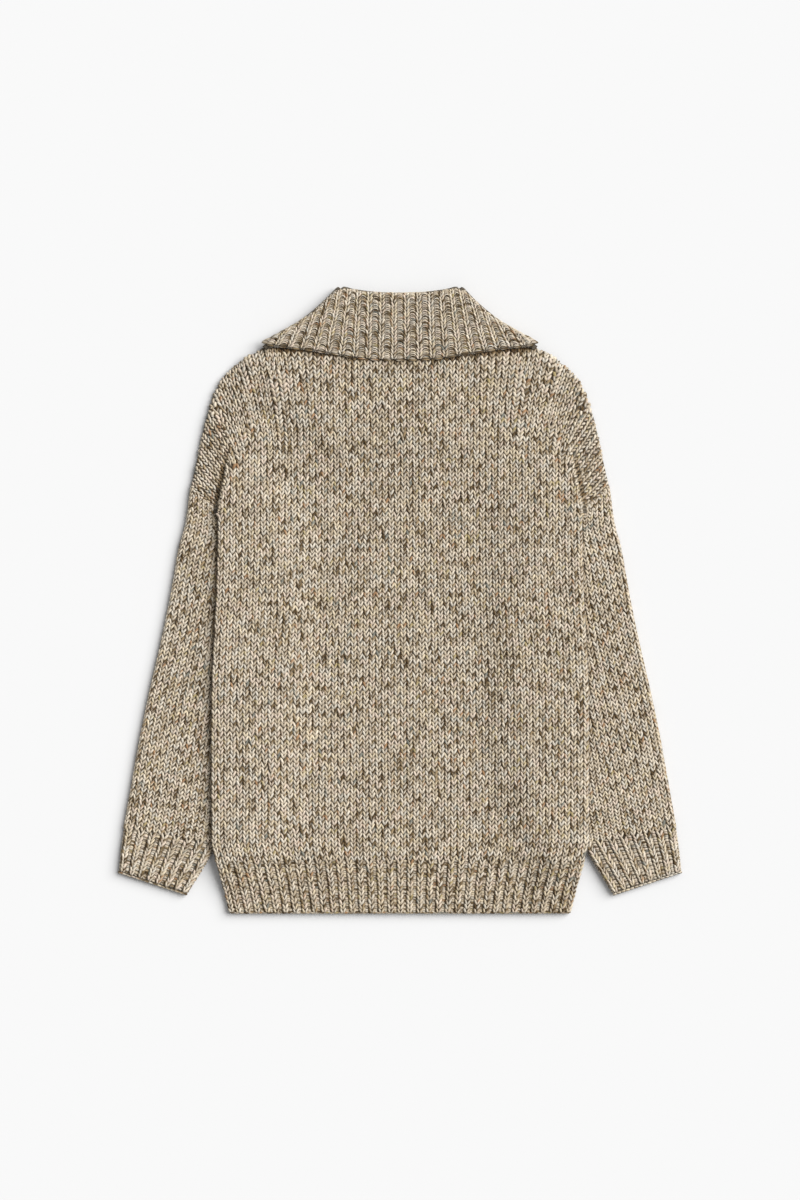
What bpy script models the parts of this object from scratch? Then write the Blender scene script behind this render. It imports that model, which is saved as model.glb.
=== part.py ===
"""A chunky knitted cardigan with a folded polo collar, laid face down with its back up.

Axes: +X is to the right as it is seen from above, +Y runs from the hem to the collar, and +Z is up.
The tables and sizes are in millimetres, and add_object turns them into metres.
"""

import bmesh
import bpy
import numpy as np

# ---- driving sizes, in millimetres -------------------------------------------------------------

MM = 0.001
WALL = 4.0                  # thickness of one layer of knitting
GAP = 0.3                   # between pieces that meet or lie on each other
HALF_SLIT = 0.3             # half of the empty space inside a flattened tube
RIB_RAISE = 0.8             # height of a rib over the wall
RIB_PITCH = 12.3            # one knit column and one purl column
CUFF_RIBS = 8
LAYER = 2 * WALL + 2 * HALF_SLIT
TUCK_LIFT = LAYER + 2 * GAP             # the body over the tucked sleeves
COLLAR_LIFT = WALL + GAP                # the body over the front half of the collar
MID = COLLAR_LIFT + LAYER / 2           # middle height of the collar's stack

HEM_SEAM_Y = -312.0
HEM_Y = -375.6
SIDE_X = 220.8                          # the body's half width at the underarm
NECK_HALF = 93.6
SHOULDER_Y = 333.6                      # where the shoulder meets the neck
BACK_NECK_Y = 312.0
FRONT_NECK_Y = 243.6
CURVE_Y = 200.0                         # rows of stitches lie straight below this
SEAM_LOW = (220.2, 104.4)               # where the seam goes under the body's side
FOLD_TOP = (198.0, 192.0)               # where the side fold over the sleeve begins
EDGE_ROUND = 6.0                        # width of a panel's rounded edge
TUCK_RAMP = 35.0                        # how far the body slopes down inside the tucked sleeve
FLAP_STEP = 12.0                        # how far it slopes down outside the side fold
COLLAR_MARGIN = 20.0                    # how far past the collar's edge the body stays lifted
COLLAR_RAMP = 26.0
COLLAR_POINT = (57.6, 192.0)
COLLAR_TIP = (160.8, 298.8)

BAND_HALF = 16.0
BAND_WALL = 2.0
BUTTON_RADIUS = 10.0
BUTTON_THICK = 1.7
BUTTON_COUNT = 5
BUTTON_TOP_Y = 148.0
BUTTON_PITCH = 120.0

# Where each column of stitches ends on the shoulder and how far it leans there.
#   wale: its x in the body    x, y: its end on the outline    lean: degrees from +Y
SHOULDER = np.array([
    (93.6, 93.6, 333.6, 0.5),
    (111.6, 117.6, 322.8, 4.0),
    (132.0, 141.6, 311.4, 8.0),
    (148.8, 165.6, 299.4, 11.0),
    (164.4, 181.2, 291.6, 15.0),
    (178.8, 199.2, 278.4, 21.0),
    (187.2, 213.0, 264.0, 25.0),
    (193.2, 220.8, 249.6, 28.0),
    (201.6, 231.6, 220.8, 34.0),
    (208.8, 238.2, 192.0, 39.0),
    (216.0, 244.2, 163.2, 43.0),
    (220.8, 251.4, 132.0, 48.0),
])

# The body's side edge:  y, half width
SIDE = np.array([
    (-376.0, 204.0),
    (-368.0, 206.0),
    (-346.0, 211.0),
    (-330.0, 215.5),
    (-312.0, 220.5),
    (-290.0, 226.0),
    (-120.0, 224.4),
    (0.0, 223.2),
    (60.0, 221.2),
    (104.4, 220.2),
])

# Where the body lies at full height over the tucked sleeve:  y, x of its inner limit
TUCK = np.array([
    (-374.0, 206.0),
    (-336.0, 199.0),
    (-303.0, 190.0),
    (-276.0, 178.0),
    (-228.0, 162.0),
    (-144.0, 150.0),
    (-60.0, 146.0),
    (36.0, 148.0),
    (66.0, 152.0),
    (100.0, 162.0),
    (144.0, 182.0),
    (192.0, 194.0),
])

# A sleeve's rows, from the armhole seam to the cuff:  outer x, y and inner x, y
SLEEVE = np.array([
    (252.0, 130.0, 213.0, 95.6),
    (257.4, 91.2, 186.0, 62.4),
    (265.2, 62.4, 166.8, 24.0),
    (275.4, 4.8, 158.4, -36.0),
    (287.4, -52.8, 158.4, -98.4),
    (300.6, -110.4, 165.6, -162.0),
    (312.6, -168.0, 180.0, -218.0),
    (322.8, -225.6, 198.0, -264.0),
    (331.8, -274.8, 218.0, -293.4),
])

# A cuff's rows:  outer x, y and inner x, y
CUFF = np.array([
    (331.9, -275.4, 218.2, -294.0),
    (335.4, -300.6, 236.0, -323.7),
    (337.8, -325.8, 254.4, -353.4),
])

# The collar from the centre back (0) over the side (1) to the centre front (2): the fold line
# between stand and fall, and the outer edge of the fall.
#   t, fold x, fold y, edge x, edge y
COLLAR = np.array([
    (0.00, 0.0, 362.9, 0.0, 287.5),
    (0.25, 18.5, 363.0, 42.0, 288.6),
    (0.50, 36.0, 364.9, 84.0, 293.4),
    (0.75, 54.0, 367.2, 124.0, 299.6),
    (1.00, 72.0, 367.9, 160.8, 298.8),
    (1.25, 64.0, 328.0, 138.0, 268.0),
    (1.50, 54.0, 303.0, 112.0, 238.0),
    (1.75, 30.0, 272.0, 84.0, 212.0),
    (2.00, 3.5, 254.0, 57.6, 192.0),
])

COLOURS = {
    "body": (0.37, 0.30, 0.22),
    "rib": (0.33, 0.27, 0.20),
    "button": (0.10, 0.06, 0.035),
}


# ---- curves ------------------------------------------------------------------------------------

def read_curve(table, key, column):
    """Smooth cubic reading of one column of a table whose first column rises."""
    knots = table[:, 0]
    values = table[:, column]
    slopes = np.gradient(values, knots)
    key = np.clip(key, knots[0], knots[-1])
    index = np.clip(np.searchsorted(knots, key) - 1, 0, len(knots) - 2)
    span = knots[index + 1] - knots[index]
    f = (key - knots[index]) / span
    start = (2 * f ** 3 - 3 * f ** 2 + 1) * values[index] + (f ** 3 - 2 * f ** 2 + f) * span * slopes[index]
    end = (3 * f ** 2 - 2 * f ** 3) * values[index + 1] + (f ** 3 - f ** 2) * span * slopes[index + 1]
    return start + end


def smooth_step(low, high, value):
    """0 below low, 1 above high and a smooth rise between them."""
    f = np.clip((value - low) / (high - low), 0.0, 1.0)
    return f * f * (3 - 2 * f)


def side_x(y):
    """Half width of the body at a height y below the armhole."""
    return np.interp(y, SIDE[:, 0], SIDE[:, 1])


def back_neck(x):
    """The back neck seam, a shallow parabola."""
    return BACK_NECK_Y + (SHOULDER_Y - BACK_NECK_Y) * (x / NECK_HALF) ** 2


def front_neck(x):
    """The front neck seam, half an ellipse."""
    depth = np.sqrt(np.clip(1 - (x / NECK_HALF) ** 2, 0, 1))
    return SHOULDER_Y - (SHOULDER_Y - FRONT_NECK_Y) * depth


def column_ends(wale, neck):
    """End of each column on the neck or shoulder, and the point that its curve leans from."""
    on_neck = wale < NECK_HALF
    end_x = np.where(on_neck, wale, np.interp(wale, SHOULDER[:, 0], SHOULDER[:, 1]))
    end_y = np.where(on_neck, neck(wale), np.interp(wale, SHOULDER[:, 0], SHOULDER[:, 2]))
    lean = np.radians(np.interp(wale, SHOULDER[:, 0], SHOULDER[:, 3]))
    rise = np.where(on_neck, 0.5 * (end_y - CURVE_Y), np.clip((end_x - wale) / np.tan(lean), 0, 85))
    return end_x, end_y, end_y - rise


def panel_points(wales, straight, curved, neck):
    """Plan points of a panel: straight rows up from the hem seam, then curves to the outline."""
    end_x, end_y, turn_y = column_ends(wales, neck)
    bend = np.interp(wales, (SHOULDER[6, 0], SIDE_X), (0.5, 0.1))
    reach = bend * np.hypot(end_x - wales, end_y - turn_y)
    start_y = np.where(wales < NECK_HALF, CURVE_Y, np.minimum(turn_y - reach, CURVE_Y))
    low = HEM_SEAM_Y + straight[:, None] * (start_y - HEM_SEAM_Y)
    low_x = wales * side_x(low) / SIDE_X
    f = curved[1:, None]
    start_x = wales * side_x(start_y) / SIDE_X
    high_x = (1 - f) ** 2 * start_x + 2 * f * (1 - f) * wales + f ** 2 * end_x
    high = (1 - f) ** 2 * start_y + 2 * f * (1 - f) * turn_y + f ** 2 * end_y
    return np.vstack([low_x, high_x]), np.vstack([low, high])


# ---- heights -----------------------------------------------------------------------------------

def tuck_lift(x, y):
    """Rise of the body over a tucked sleeve, with a step outside the side fold."""
    x = np.abs(x)
    along = smooth_step(FOLD_TOP[1], 112.0, y) * smooth_step(-366.0, -306.0, y)
    inner = np.interp(y, TUCK[:, 0], TUCK[:, 1])
    across = smooth_step(-TUCK_RAMP, 0.0, x - inner)
    slant = (FOLD_TOP[0] - SEAM_LOW[0]) / (FOLD_TOP[1] - SEAM_LOW[1])
    fold_x = SEAM_LOW[0] + (y - SEAM_LOW[1]) * slant
    outside = np.where(y > SEAM_LOW[1], x - fold_x, 0.0)
    return TUCK_LIFT * along * across * (1 - smooth_step(0.0, FLAP_STEP, outside))


def collar_lift(x, y):
    """Rise of the body over the front half of the collar."""
    run = np.subtract(COLLAR_TIP, COLLAR_POINT)
    across = np.array([run[1], -run[0]]) / np.hypot(*run)
    beyond = (np.abs(x) - COLLAR_TIP[0]) * across[0] + (y - COLLAR_TIP[1]) * across[1]
    beyond = np.maximum(beyond - COLLAR_MARGIN, COLLAR_POINT[1] - 4.0 - y)
    return COLLAR_LIFT * (1 - smooth_step(0.0, COLLAR_RAMP, beyond))


def body_lift(x, y):
    """Height of the body's underside."""
    return tuck_lift(x, y) + collar_lift(x, y)


def outline_points():
    """Dense points of one side of the body's outline, without the armhole seam."""
    keys = np.linspace(SHOULDER[0, 0], SHOULDER[-1, 0], 300)
    shoulder = np.column_stack([np.interp(keys, SHOULDER[:, 0], SHOULDER[:, c]) for c in (1, 2)])
    y = np.linspace(HEM_Y, SEAM_LOW[1], 300)
    return np.vstack([shoulder, np.column_stack([side_x(y), y])])


def edge_profile(x, y):
    """0 on the outline, 1 from EDGE_ROUND inside it, along a quarter ellipse."""
    outline = outline_points()
    points = np.column_stack([np.abs(x).ravel(), y.ravel()])
    away = np.hypot(points[:, None, 0] - outline[None, :, 0], points[:, None, 1] - outline[None, :, 1])
    inside = np.clip(away.min(axis=1) / EDGE_ROUND, 0, 1).reshape(x.shape)
    return np.sqrt(1 - (1 - inside) ** 2)


# ---- meshes ------------------------------------------------------------------------------------

def clear_scene():
    """Remove what the file holds."""
    for obj in list(bpy.data.objects):
        bpy.data.objects.remove(obj, do_unlink=True)


def make_material(name, colour, roughness):
    """A plain coloured surface."""
    material = bpy.data.materials.new(name)
    material.use_nodes = True
    shader = material.node_tree.nodes["Principled BSDF"]
    shader.inputs["Base Color"].default_value = (*colour, 1.0)
    shader.inputs["Roughness"].default_value = roughness
    shader.inputs["Metallic"].default_value = 0.0
    return material


def add_object(collection, name, points, faces, colour, roughness=0.9):
    """One closed piece from points in millimetres."""
    mesh = bpy.data.meshes.new(name)
    mesh.from_pydata((np.asarray(points) * MM).tolist(), [], faces)
    form = bmesh.new()
    form.from_mesh(mesh)
    bmesh.ops.recalc_face_normals(form, faces=form.faces)
    form.to_mesh(mesh)
    form.free()
    mesh.materials.append(make_material(name, COLOURS[colour], roughness))
    mesh.shade_smooth()
    obj = bpy.data.objects.new(name, mesh)
    collection.objects.link(obj)
    return obj


def strip_faces(ring_a, ring_b, closed):
    """Quads between two rows of point numbers."""
    count = len(ring_a) if closed else len(ring_a) - 1
    return [
        (ring_a[k], ring_a[(k + 1) % len(ring_a)], ring_b[(k + 1) % len(ring_b)], ring_b[k])
        for k in range(count)
    ]


def split_quad(quad, outward):
    """Two triangles of a quad, split alike in walls that lie on each other."""
    a, b, c, d = quad
    return [(a, b, c), (a, c, d)] if outward else [(a, b, d), (b, c, d)]


def wall_from_grids(outer, inner):
    """Points and faces of a wall between two grids of rows, closed round its four edges."""
    rows, columns = outer.shape[:2]
    points = np.vstack([outer.reshape(-1, 3), inner.reshape(-1, 3)])
    out = np.arange(rows * columns).reshape(rows, columns)
    faces = []
    for side in (out, out + rows * columns):
        for row in range(rows - 1):
            for column in range(columns - 1):
                quad = (side[row, column], side[row, column + 1],
                        side[row + 1, column + 1], side[row + 1, column])
                outward = abs(outer[row, column + 1, 0]) >= abs(outer[row, column, 0])
                faces += split_quad(quad, outward)
    loop = np.concatenate([out[0, :-1], out[:-1, -1], out[-1, :0:-1], out[:0:-1, 0]])
    faces += strip_faces(loop, loop + rows * columns, True)
    return points, [tuple(int(p) for p in face) for face in faces]


def loft_rings(rings):
    """Points and faces of a solid through closed rings, with flat ends."""
    count, size = rings.shape[:2]
    index = np.arange(count * size).reshape(count, size)
    faces = []
    for row in range(count - 1):
        faces += strip_faces(index[row], index[row + 1], True)
    faces += [tuple(index[0]), tuple(index[-1][::-1])]
    return rings.reshape(-1, 3), [tuple(int(p) for p in face) for face in faces]


def tube_from_rings(outer, inner):
    """Points and faces of an open tube: outer rings, inner rings and two end rims."""
    count, size = outer.shape[:2]
    points = np.vstack([outer.reshape(-1, 3), inner.reshape(-1, 3)])
    out = np.arange(count * size).reshape(count, size)
    into = out + count * size
    faces = []
    for side in (out, into):
        for row in range(count - 1):
            faces += strip_faces(side[row], side[row + 1], True)
    faces += strip_faces(out[0], into[0], True) + strip_faces(out[-1], into[-1], True)
    return points, [tuple(int(p) for p in face) for face in faces]


# ---- the body ----------------------------------------------------------------------------------

EDGE_WALES = (187.2, 193.2, 201.6, 208.8, 214.0, 217.6, 219.9, SIDE_X)
STRAIGHT_ROWS = np.array([
    0.0, 0.03, 0.08, 0.16, 0.26, 0.36, 0.46, 0.56, 0.65, 0.73, 0.80, 0.87, 0.926, 0.98, 1.0])
CURVED_ROWS = np.array([0.0, 0.16, 0.32, 0.48, 0.64, 0.78, 0.88, 0.95, 0.985, 1.0])


def half_wales():
    """Columns of one half of a panel, from the button bands to the side."""
    inner = np.linspace(BAND_HALF + GAP, NECK_HALF, 7)
    return np.concatenate([inner, (111.6, 132.0, 148.8, 164.4, 178.8), EDGE_WALES])


def upper_wall(x, y):
    """Outer and inner grids of a back panel whose edge rounds down to the panel below."""
    base = body_lift(x, y) + WALL + GAP
    profile = edge_profile(x, y)
    return np.dstack([x, y, base + GAP + WALL * profile]), np.dstack([x, y, base + GAP * profile])


def lower_wall(x, y):
    """Inner and outer grids of a front panel whose edge rounds up to the panel above."""
    base = body_lift(x, y)
    low = base + (WALL - GAP) * (1 - edge_profile(x, y))
    return np.dstack([x, y, base + WALL]), np.dstack([x, y, low])


def add_back(collection):
    """The back panel, from the hem seam to the neck, shoulders and armhole seams."""
    half = np.append(0.0, half_wales())
    x, y = panel_points(half, STRAIGHT_ROWS, CURVED_ROWS, back_neck)
    x = np.hstack([-x[:, :0:-1], x])
    y = np.hstack([y[:, :0:-1], y])
    add_object(collection, "back", *wall_from_grids(*upper_wall(x, y)), "body")


def add_fronts(collection):
    """Two front panels, from the button bands out to the sides."""
    x, y = panel_points(half_wales(), STRAIGHT_ROWS, CURVED_ROWS, front_neck)
    for name, side in (("front_left", -1), ("front_right", 1)):
        add_object(collection, name, *wall_from_grids(*lower_wall(x * side, y)), "body")


HEM_ROWS = (HEM_SEAM_Y - GAP, -342.0, -371.5, -374.8, HEM_Y)
HEM_ROUNDING = (1.0, 1.0, 1.0, 0.8, 0.4)    # share of the wall's thickness at each row


def hem_points(spread, rows):
    """Plan points of a hem rib, from a spread of -1 to 1 across it and its rows in y."""
    rows = np.asarray(rows)[:, None]
    return spread * side_x(rows), rows + 0 * spread


def add_back_hem(collection):
    """The back hem rib, with its ribs raised on the upper side."""
    count = round(2 * side_x(HEM_SEAM_Y) / RIB_PITCH)
    spread = np.linspace(-1, 1, 3 * count + 1)[None, :]
    spread = np.sort(np.hstack([spread, [[-0.992, 0.992]]]))
    x, y = hem_points(spread, HEM_ROWS)
    outer, inner = upper_wall(x, y)
    rib = 0.5 + 0.5 * np.cos(np.pi * spread * count)
    outer[..., 2] += RIB_RAISE * rib * edge_profile(x, y)
    outer[..., 2] = inner[..., 2] + (outer[..., 2] - inner[..., 2]) * np.array(HEM_ROUNDING)[:, None]
    add_object(collection, "back_hem_rib", *wall_from_grids(outer, inner), "rib")


def add_front_hems(collection):
    """The two front hem ribs, plain on the side that rests."""
    spread = np.array([0.0, 0.3, 0.6, 0.7, 0.76, 0.82, 0.87, 0.91, 0.945, 0.97, 0.99, 1.0])[None, :]
    y = np.array(HEM_ROWS)[:, None]
    x = BAND_HALF + GAP + spread * (side_x(y) - BAND_HALF - GAP)
    y = y + 0 * spread
    for name, side in (("front_left_hem_rib", -1), ("front_right_hem_rib", 1)):
        add_object(collection, name, *wall_from_grids(*lower_wall(x * side, y)), "rib")


# ---- sleeves and cuffs -------------------------------------------------------------------------

def flat_tube_profile(half_height, across):
    """A flat tube's section: how far across it each point is, its reach past the ends and height."""
    turn = np.radians(np.array([60.0, 20.0, -20.0, -60.0]))
    spread = np.concatenate([across, np.ones(4), across[::-1], np.zeros(4)])
    reach = np.concatenate([0 * across, np.cos(turn), 0 * across, -np.cos(turn)]) * half_height
    height = np.concatenate([0 * across + 1, np.sin(turn), 0 * across - 1, -np.sin(turn)]) * half_height
    return spread, reach, height


def flat_tube(rows, half_height, across):
    """Rings of a flattened tube whose two edges lie on the plan lines of the rows."""
    outer_end = rows[:, 0:2]
    inner_end = rows[:, 2:4]
    run = outer_end - inner_end
    unit = run / np.hypot(run[:, 0], run[:, 1])[:, None]
    low = inner_end + unit * LAYER / 2
    high = outer_end - unit * LAYER / 2
    spread, reach, height = flat_tube_profile(half_height, across)
    plan = low[:, None] + (high - low)[:, None] * spread[None, :, None]
    plan = plan + unit[:, None] * reach[None, :, None]
    z = LAYER / 2 + height[None, :] + np.zeros((len(rows), 1))
    return np.dstack([plan[..., 0], plan[..., 1], z])


def add_tube(collection, name, rows, across, side, colour, ribs=0):
    """One flattened tube of knitting, open at both ends, with ribs along its upper side."""
    outer = flat_tube(rows, LAYER / 2, across)
    outer[:, :len(across), 2] += RIB_RAISE * (0.5 - 0.5 * np.cos(2 * np.pi * across * ribs))
    inner = flat_tube(rows, HALF_SLIT, across)
    outer[..., 0] *= side
    inner[..., 0] *= side
    add_object(collection, name, *tube_from_rings(outer, inner), colour)


def refine_rows(table, count):
    """Rows of a table read smoothly at evenly spaced steps."""
    keyed = np.column_stack([np.arange(len(table)), table])
    keys = np.linspace(0, len(table) - 1, count)
    return np.column_stack([read_curve(keyed, keys, column) for column in range(1, 5)])


def add_sleeves(collection):
    """Two sleeves, flattened, from the armhole seam to the cuff."""
    rows = refine_rows(SLEEVE, 17)
    across = np.linspace(0, 1, 5)
    for name, side in (("sleeve_left", -1), ("sleeve_right", 1)):
        add_tube(collection, name, rows, across, side, "body")


def add_cuffs(collection):
    """Two rib cuffs."""
    across = np.linspace(0, 1, 3 * CUFF_RIBS + 1)
    for name, side in (("cuff_left", -1), ("cuff_right", 1)):
        add_tube(collection, name, CUFF, across, side, "rib", CUFF_RIBS)


# ---- the collar --------------------------------------------------------------------------------

RIB_COUNT = 22              # ribs across the back half
SECTIONS_PER_RIB = 3
FRONT_SECTIONS = 10
WRAP_ANGLES = (60.0, 30.0, 0.0, -30.0, -60.0)
CREASE_OUT = (0.62, 0.785)              # outward across the slanting crease
CREASE_SAG = 4.5
STAND_IN = 4.2                          # the stand's crease lies this far inside the neck seam

# The ring of one section: how far from the neck seam (0) to the fold (1) to the outer edge (2),
# the height from the middle of the stack, and the reach past the fold.
#   along, height, reach
STAND_INSIDE = [(0.0, 0.3, 0.0), (0.5, 0.3, 0.0), (1.0, 0.3, 0.0)]
FOLD_OUTSIDE = [(1.0, 1.52, 2.93), (1.0, 4.45, 4.15), (1.0, 7.38, 2.93)]
FALL_OUTSIDE = [(1.0, 8.6, 0.0), (1.2, 8.6, 0.0), (1.45, 8.6, 0.0), (1.7, 8.6, 0.0), (1.93, 8.6, 0.0)]
FALL_EDGE = [(1.99, 7.8, 0.0), (2.0, 6.4, 0.0), (1.99, 4.9, 0.0)]
FALL_INSIDE = [(1.93, 4.6, 0.0), (1.7, 4.6, 0.0), (1.45, 4.6, 0.0), (1.2, 4.6, 0.0), (1.0, 4.6, 0.0)]
STAND_OUTSIDE = [(1.0, 4.3, 0.0), (0.5, 4.3, 0.0), (0.0, 4.3, 0.0)]
RING = np.array(STAND_INSIDE + FOLD_OUTSIDE + FALL_OUTSIDE + FALL_EDGE + FALL_INSIDE + STAND_OUTSIDE)


def neck_point(t):
    """The collar's side of the neck seam: back parabola, then front ellipse."""
    if t <= 1.0:
        return np.array([(NECK_HALF - STAND_IN) * t, back_neck(NECK_HALF * t) + GAP])
    turn = np.radians(90.0 * (t - 1.0))
    x = max((NECK_HALF - STAND_IN) * np.cos(turn), 2.5)
    y = SHOULDER_Y - (SHOULDER_Y - FRONT_NECK_Y) * np.sin(turn)
    return np.array([x, y + GAP])


def collar_ring(t, wrap, rib):
    """One section of the collar; wrap is 90 on the back, 0 on the crease and -90 on the front."""
    neck = neck_point(t)
    fold = np.array([read_curve(COLLAR, t, 1), read_curve(COLLAR, t, 2)])
    edge = np.array([read_curve(COLLAR, t, 3), read_curve(COLLAR, t, 4)])
    along = RING[:, 0:1]
    on_stand = neck + (fold - neck) * np.clip(along, 0, 1)
    on_fall = (edge - fold) * np.clip(along - 1, 0, 1)
    sag = CREASE_SAG * max(0.0, 1 - abs(t - 1) / 0.5) * np.sin(np.pi * np.clip(along - 1, 0, 1) ** 0.8)
    beyond = (fold - neck) / np.hypot(*(fold - neck))
    plan = on_stand + on_fall - sag * np.array(CREASE_OUT) + RING[:, 2:3] * beyond
    turn = smooth_step(0.6, 1.15, along)
    outward = (1 - turn) * np.array([1.0, 0.0]) + turn * np.array(CREASE_OUT)
    outward = outward / np.hypot(outward[:, 0], outward[:, 1])[:, None]
    height = RING[:, 1] + rib * (RING[:, 1] > 7)
    angle = np.radians(wrap)
    plan = plan + outward * (np.cos(angle) * height)[:, None]
    return np.column_stack([plan, MID + np.sin(angle) * height])


def add_collar(collection):
    """The folded rib collar, round from one centre front edge to the other."""
    rings = []
    back_count = RIB_COUNT * SECTIONS_PER_RIB // 2
    for t in np.linspace(0, 1, back_count + 1):
        rib = RIB_RAISE * (0.5 - 0.5 * np.cos(np.pi * t * RIB_COUNT))
        rings.append(collar_ring(t, 90.0, rib))
    for angle in WRAP_ANGLES:
        rings.append(collar_ring(1.0, angle, 0.0))
    for t in np.linspace(1, 2, FRONT_SECTIONS + 1):
        rings.append(collar_ring(t, -90.0, 0.0))
    right = np.array(rings)
    left = right[:0:-1] * np.array([-1, 1, 1])
    add_object(collection, "collar", *loft_rings(np.vstack([left, right])), "rib")


# ---- bands and buttons -------------------------------------------------------------------------

def band_grids(low, high):
    """Upper and lower grids of a band down the centre front."""
    spread = np.array([-BAND_HALF, 0.0, BAND_HALF])[None, :]
    rows = HEM_SEAM_Y + STRAIGHT_ROWS * (CURVE_Y - HEM_SEAM_Y)
    y = np.concatenate([[HEM_Y], rows[::4], rows[-3:], [FRONT_NECK_Y - GAP]])[:, None]
    x = spread + 0 * y
    y = y + 0 * spread
    base = collar_lift(x, y)
    return np.dstack([x, y, base + high]), np.dstack([x, y, base + low])


def add_cylinder(collection, name, radius, low, high, y):
    """A round piece with its axis upright."""
    mesh = bpy.data.meshes.new(name)
    form = bmesh.new()
    bmesh.ops.create_cone(
        form, cap_ends=True, segments=32, radius1=radius * MM, radius2=radius * MM, depth=(high - low) * MM)
    form.to_mesh(mesh)
    form.free()
    obj = bpy.data.objects.new(name, mesh)
    obj.location = (0.0, y * MM, (low + high) / 2 * MM)
    collection.objects.link(obj)
    return obj


def add_bands(collection, cutters):
    """The buttonhole band, with a seat for each button, and the button band over it."""
    outer = add_object(collection, "placket_outer", *wall_from_grids(*band_grids(0.0, BAND_WALL)), "rib")
    upper_low = BAND_WALL + GAP
    add_object(
        collection, "placket_inner", *wall_from_grids(*band_grids(upper_low, upper_low + BAND_WALL)), "rib")
    for number in range(BUTTON_COUNT):
        y = BUTTON_TOP_Y - number * BUTTON_PITCH
        button = add_cylinder(collection, f"button_{number + 1}", BUTTON_RADIUS, 0.0, BUTTON_THICK, y)
        button.data.materials.append(make_material(button.name, COLOURS["button"], 0.4))
        seat = add_cylinder(cutters, f"seat_{number + 1}", BUTTON_RADIUS + GAP, -2.0, BAND_WALL + 1, y)
        seat.hide_render = True
        seat.display_type = "WIRE"
        cut = outer.modifiers.new(seat.name, "BOOLEAN")
        cut.operation = "DIFFERENCE"
        cut.object = seat


def main():
    """Build every piece of the cardigan."""
    clear_scene()
    parts = bpy.data.collections.new("polo_collar_cardigan")
    cutters = bpy.data.collections.new("cutters")
    for collection in (parts, cutters):
        bpy.context.scene.collection.children.link(collection)
    add_back(parts)
    add_fronts(parts)
    add_back_hem(parts)
    add_front_hems(parts)
    add_sleeves(parts)
    add_cuffs(parts)
    add_collar(parts)
    add_bands(parts, cutters)


main()
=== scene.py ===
from functools import partial

import bpy
import numpy as np
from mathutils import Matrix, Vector


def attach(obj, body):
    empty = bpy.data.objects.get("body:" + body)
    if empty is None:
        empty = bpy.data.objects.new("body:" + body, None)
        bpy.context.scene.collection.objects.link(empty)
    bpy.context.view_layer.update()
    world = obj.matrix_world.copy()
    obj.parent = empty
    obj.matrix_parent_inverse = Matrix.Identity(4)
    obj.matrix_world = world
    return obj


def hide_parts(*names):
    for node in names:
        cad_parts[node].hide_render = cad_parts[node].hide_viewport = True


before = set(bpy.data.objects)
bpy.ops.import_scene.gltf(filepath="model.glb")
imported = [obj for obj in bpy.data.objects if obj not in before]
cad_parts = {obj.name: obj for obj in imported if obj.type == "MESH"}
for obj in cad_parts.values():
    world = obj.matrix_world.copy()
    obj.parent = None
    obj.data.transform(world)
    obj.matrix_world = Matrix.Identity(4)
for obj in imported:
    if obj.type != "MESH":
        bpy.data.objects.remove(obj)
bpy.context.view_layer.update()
print("stage 1: frame loaded")

# every size below is in millimetres, and makeMesh turns it into metres
mm = 0.001
draw = np.random.default_rng(20417)

knit = {
    "wall": 4.0,            # thickness of the cloth
    "gap": 0.3,             # between two layers of it
    "walePitch": 7.36,      # width of one stitch
    "coursePitch": 5.34,    # height of one stitch
    "groundDrop": 1.4,      # the cloth under the yarn lies this far below the top of the wall
    "yarnSink": 1.0,        # the yarn's middle lies this far below the top of the wall
    "yarnRadius": 1.42,
}
layer = 2 * knit["wall"] + 2 * knit["gap"]

body = {
    "hemSeamY": -312.0,
    "hemY": -375.6,
    "sideX": 220.8,
    "neckHalf": 93.6,               # half the width of the neck
    "shoulderY": 333.6,
    "backNeckY": 312.0,
    "frontNeckY": 243.6,
    "frontEdgeX": 16.3,             # a front's cloth begins here, at its band
    "curveY": 200.0,                # the columns are straight up to here at most
    "tallestTurn": 85.0,            # and turn at most this far below the shoulder
    "turnFrom": 187.2,
    "turnShare": (0.5, 0.1),        # lower part of the turn to its upper part, from there to the side
    "seamLow": (220.2, 104.4),      # lower end of the armhole seam, at the side
    "foldTop": (203.0, 191.0),      # upper end of the side's fold over the sleeve
    "edgeRound": 6.0,               # breadth of the outline's rounding
    "tuckLift": layer + 2 * knit["gap"],
    "tuckRamp": 60.0,               # it rises over this width
    "tuckTopY": 118.0,              # full height over the sleeve from here down
    "tuckHemY": (-366.0, -306.0),   # and none at the hem
    "flapStep": (-3.0, 2.0),        # from inside to outside the side's fold, where the body steps down
    "collarLift": knit["wall"] + knit["gap"],
    "collarMargin": (20.0, 4.0),    # full height this far past the collar's slanting edge and its point
    "collarRamp": 26.0,
    "collarPoint": (57.6, 192.0),
    "collarTip": (160.8, 298.8),
}

# wale: its x in the body, x and y: its end on the shoulder, lean: degrees there
shoulderTable = np.array([
    (93.6, 93.6, 333.6, 0.5),
    (111.6, 117.6, 322.8, 4.0),
    (132.0, 141.6, 311.4, 8.0),
    (148.8, 165.6, 299.4, 11.0),
    (164.4, 181.2, 291.6, 15.0),
    (178.8, 199.2, 278.4, 21.0),
    (187.2, 213.0, 264.0, 25.0),
    (193.2, 220.8, 249.6, 28.0),
    (201.6, 231.6, 220.8, 34.0),
    (208.8, 238.2, 192.0, 39.0),
    (216.0, 244.2, 163.2, 43.0),
    (220.8, 251.4, 132.0, 48.0),
])

# y, half width of the body
sideTable = np.array([
    (-376.0, 204.0), (-368.0, 206.0), (-346.0, 211.0), (-330.0, 215.5),
    (-312.0, 220.5), (-290.0, 226.0), (-120.0, 226.0), (-84.0, 224.8),
    (-36.0, 222.4), (12.0, 219.8), (60.0, 218.4), (104.4, 218.0),
])

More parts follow.
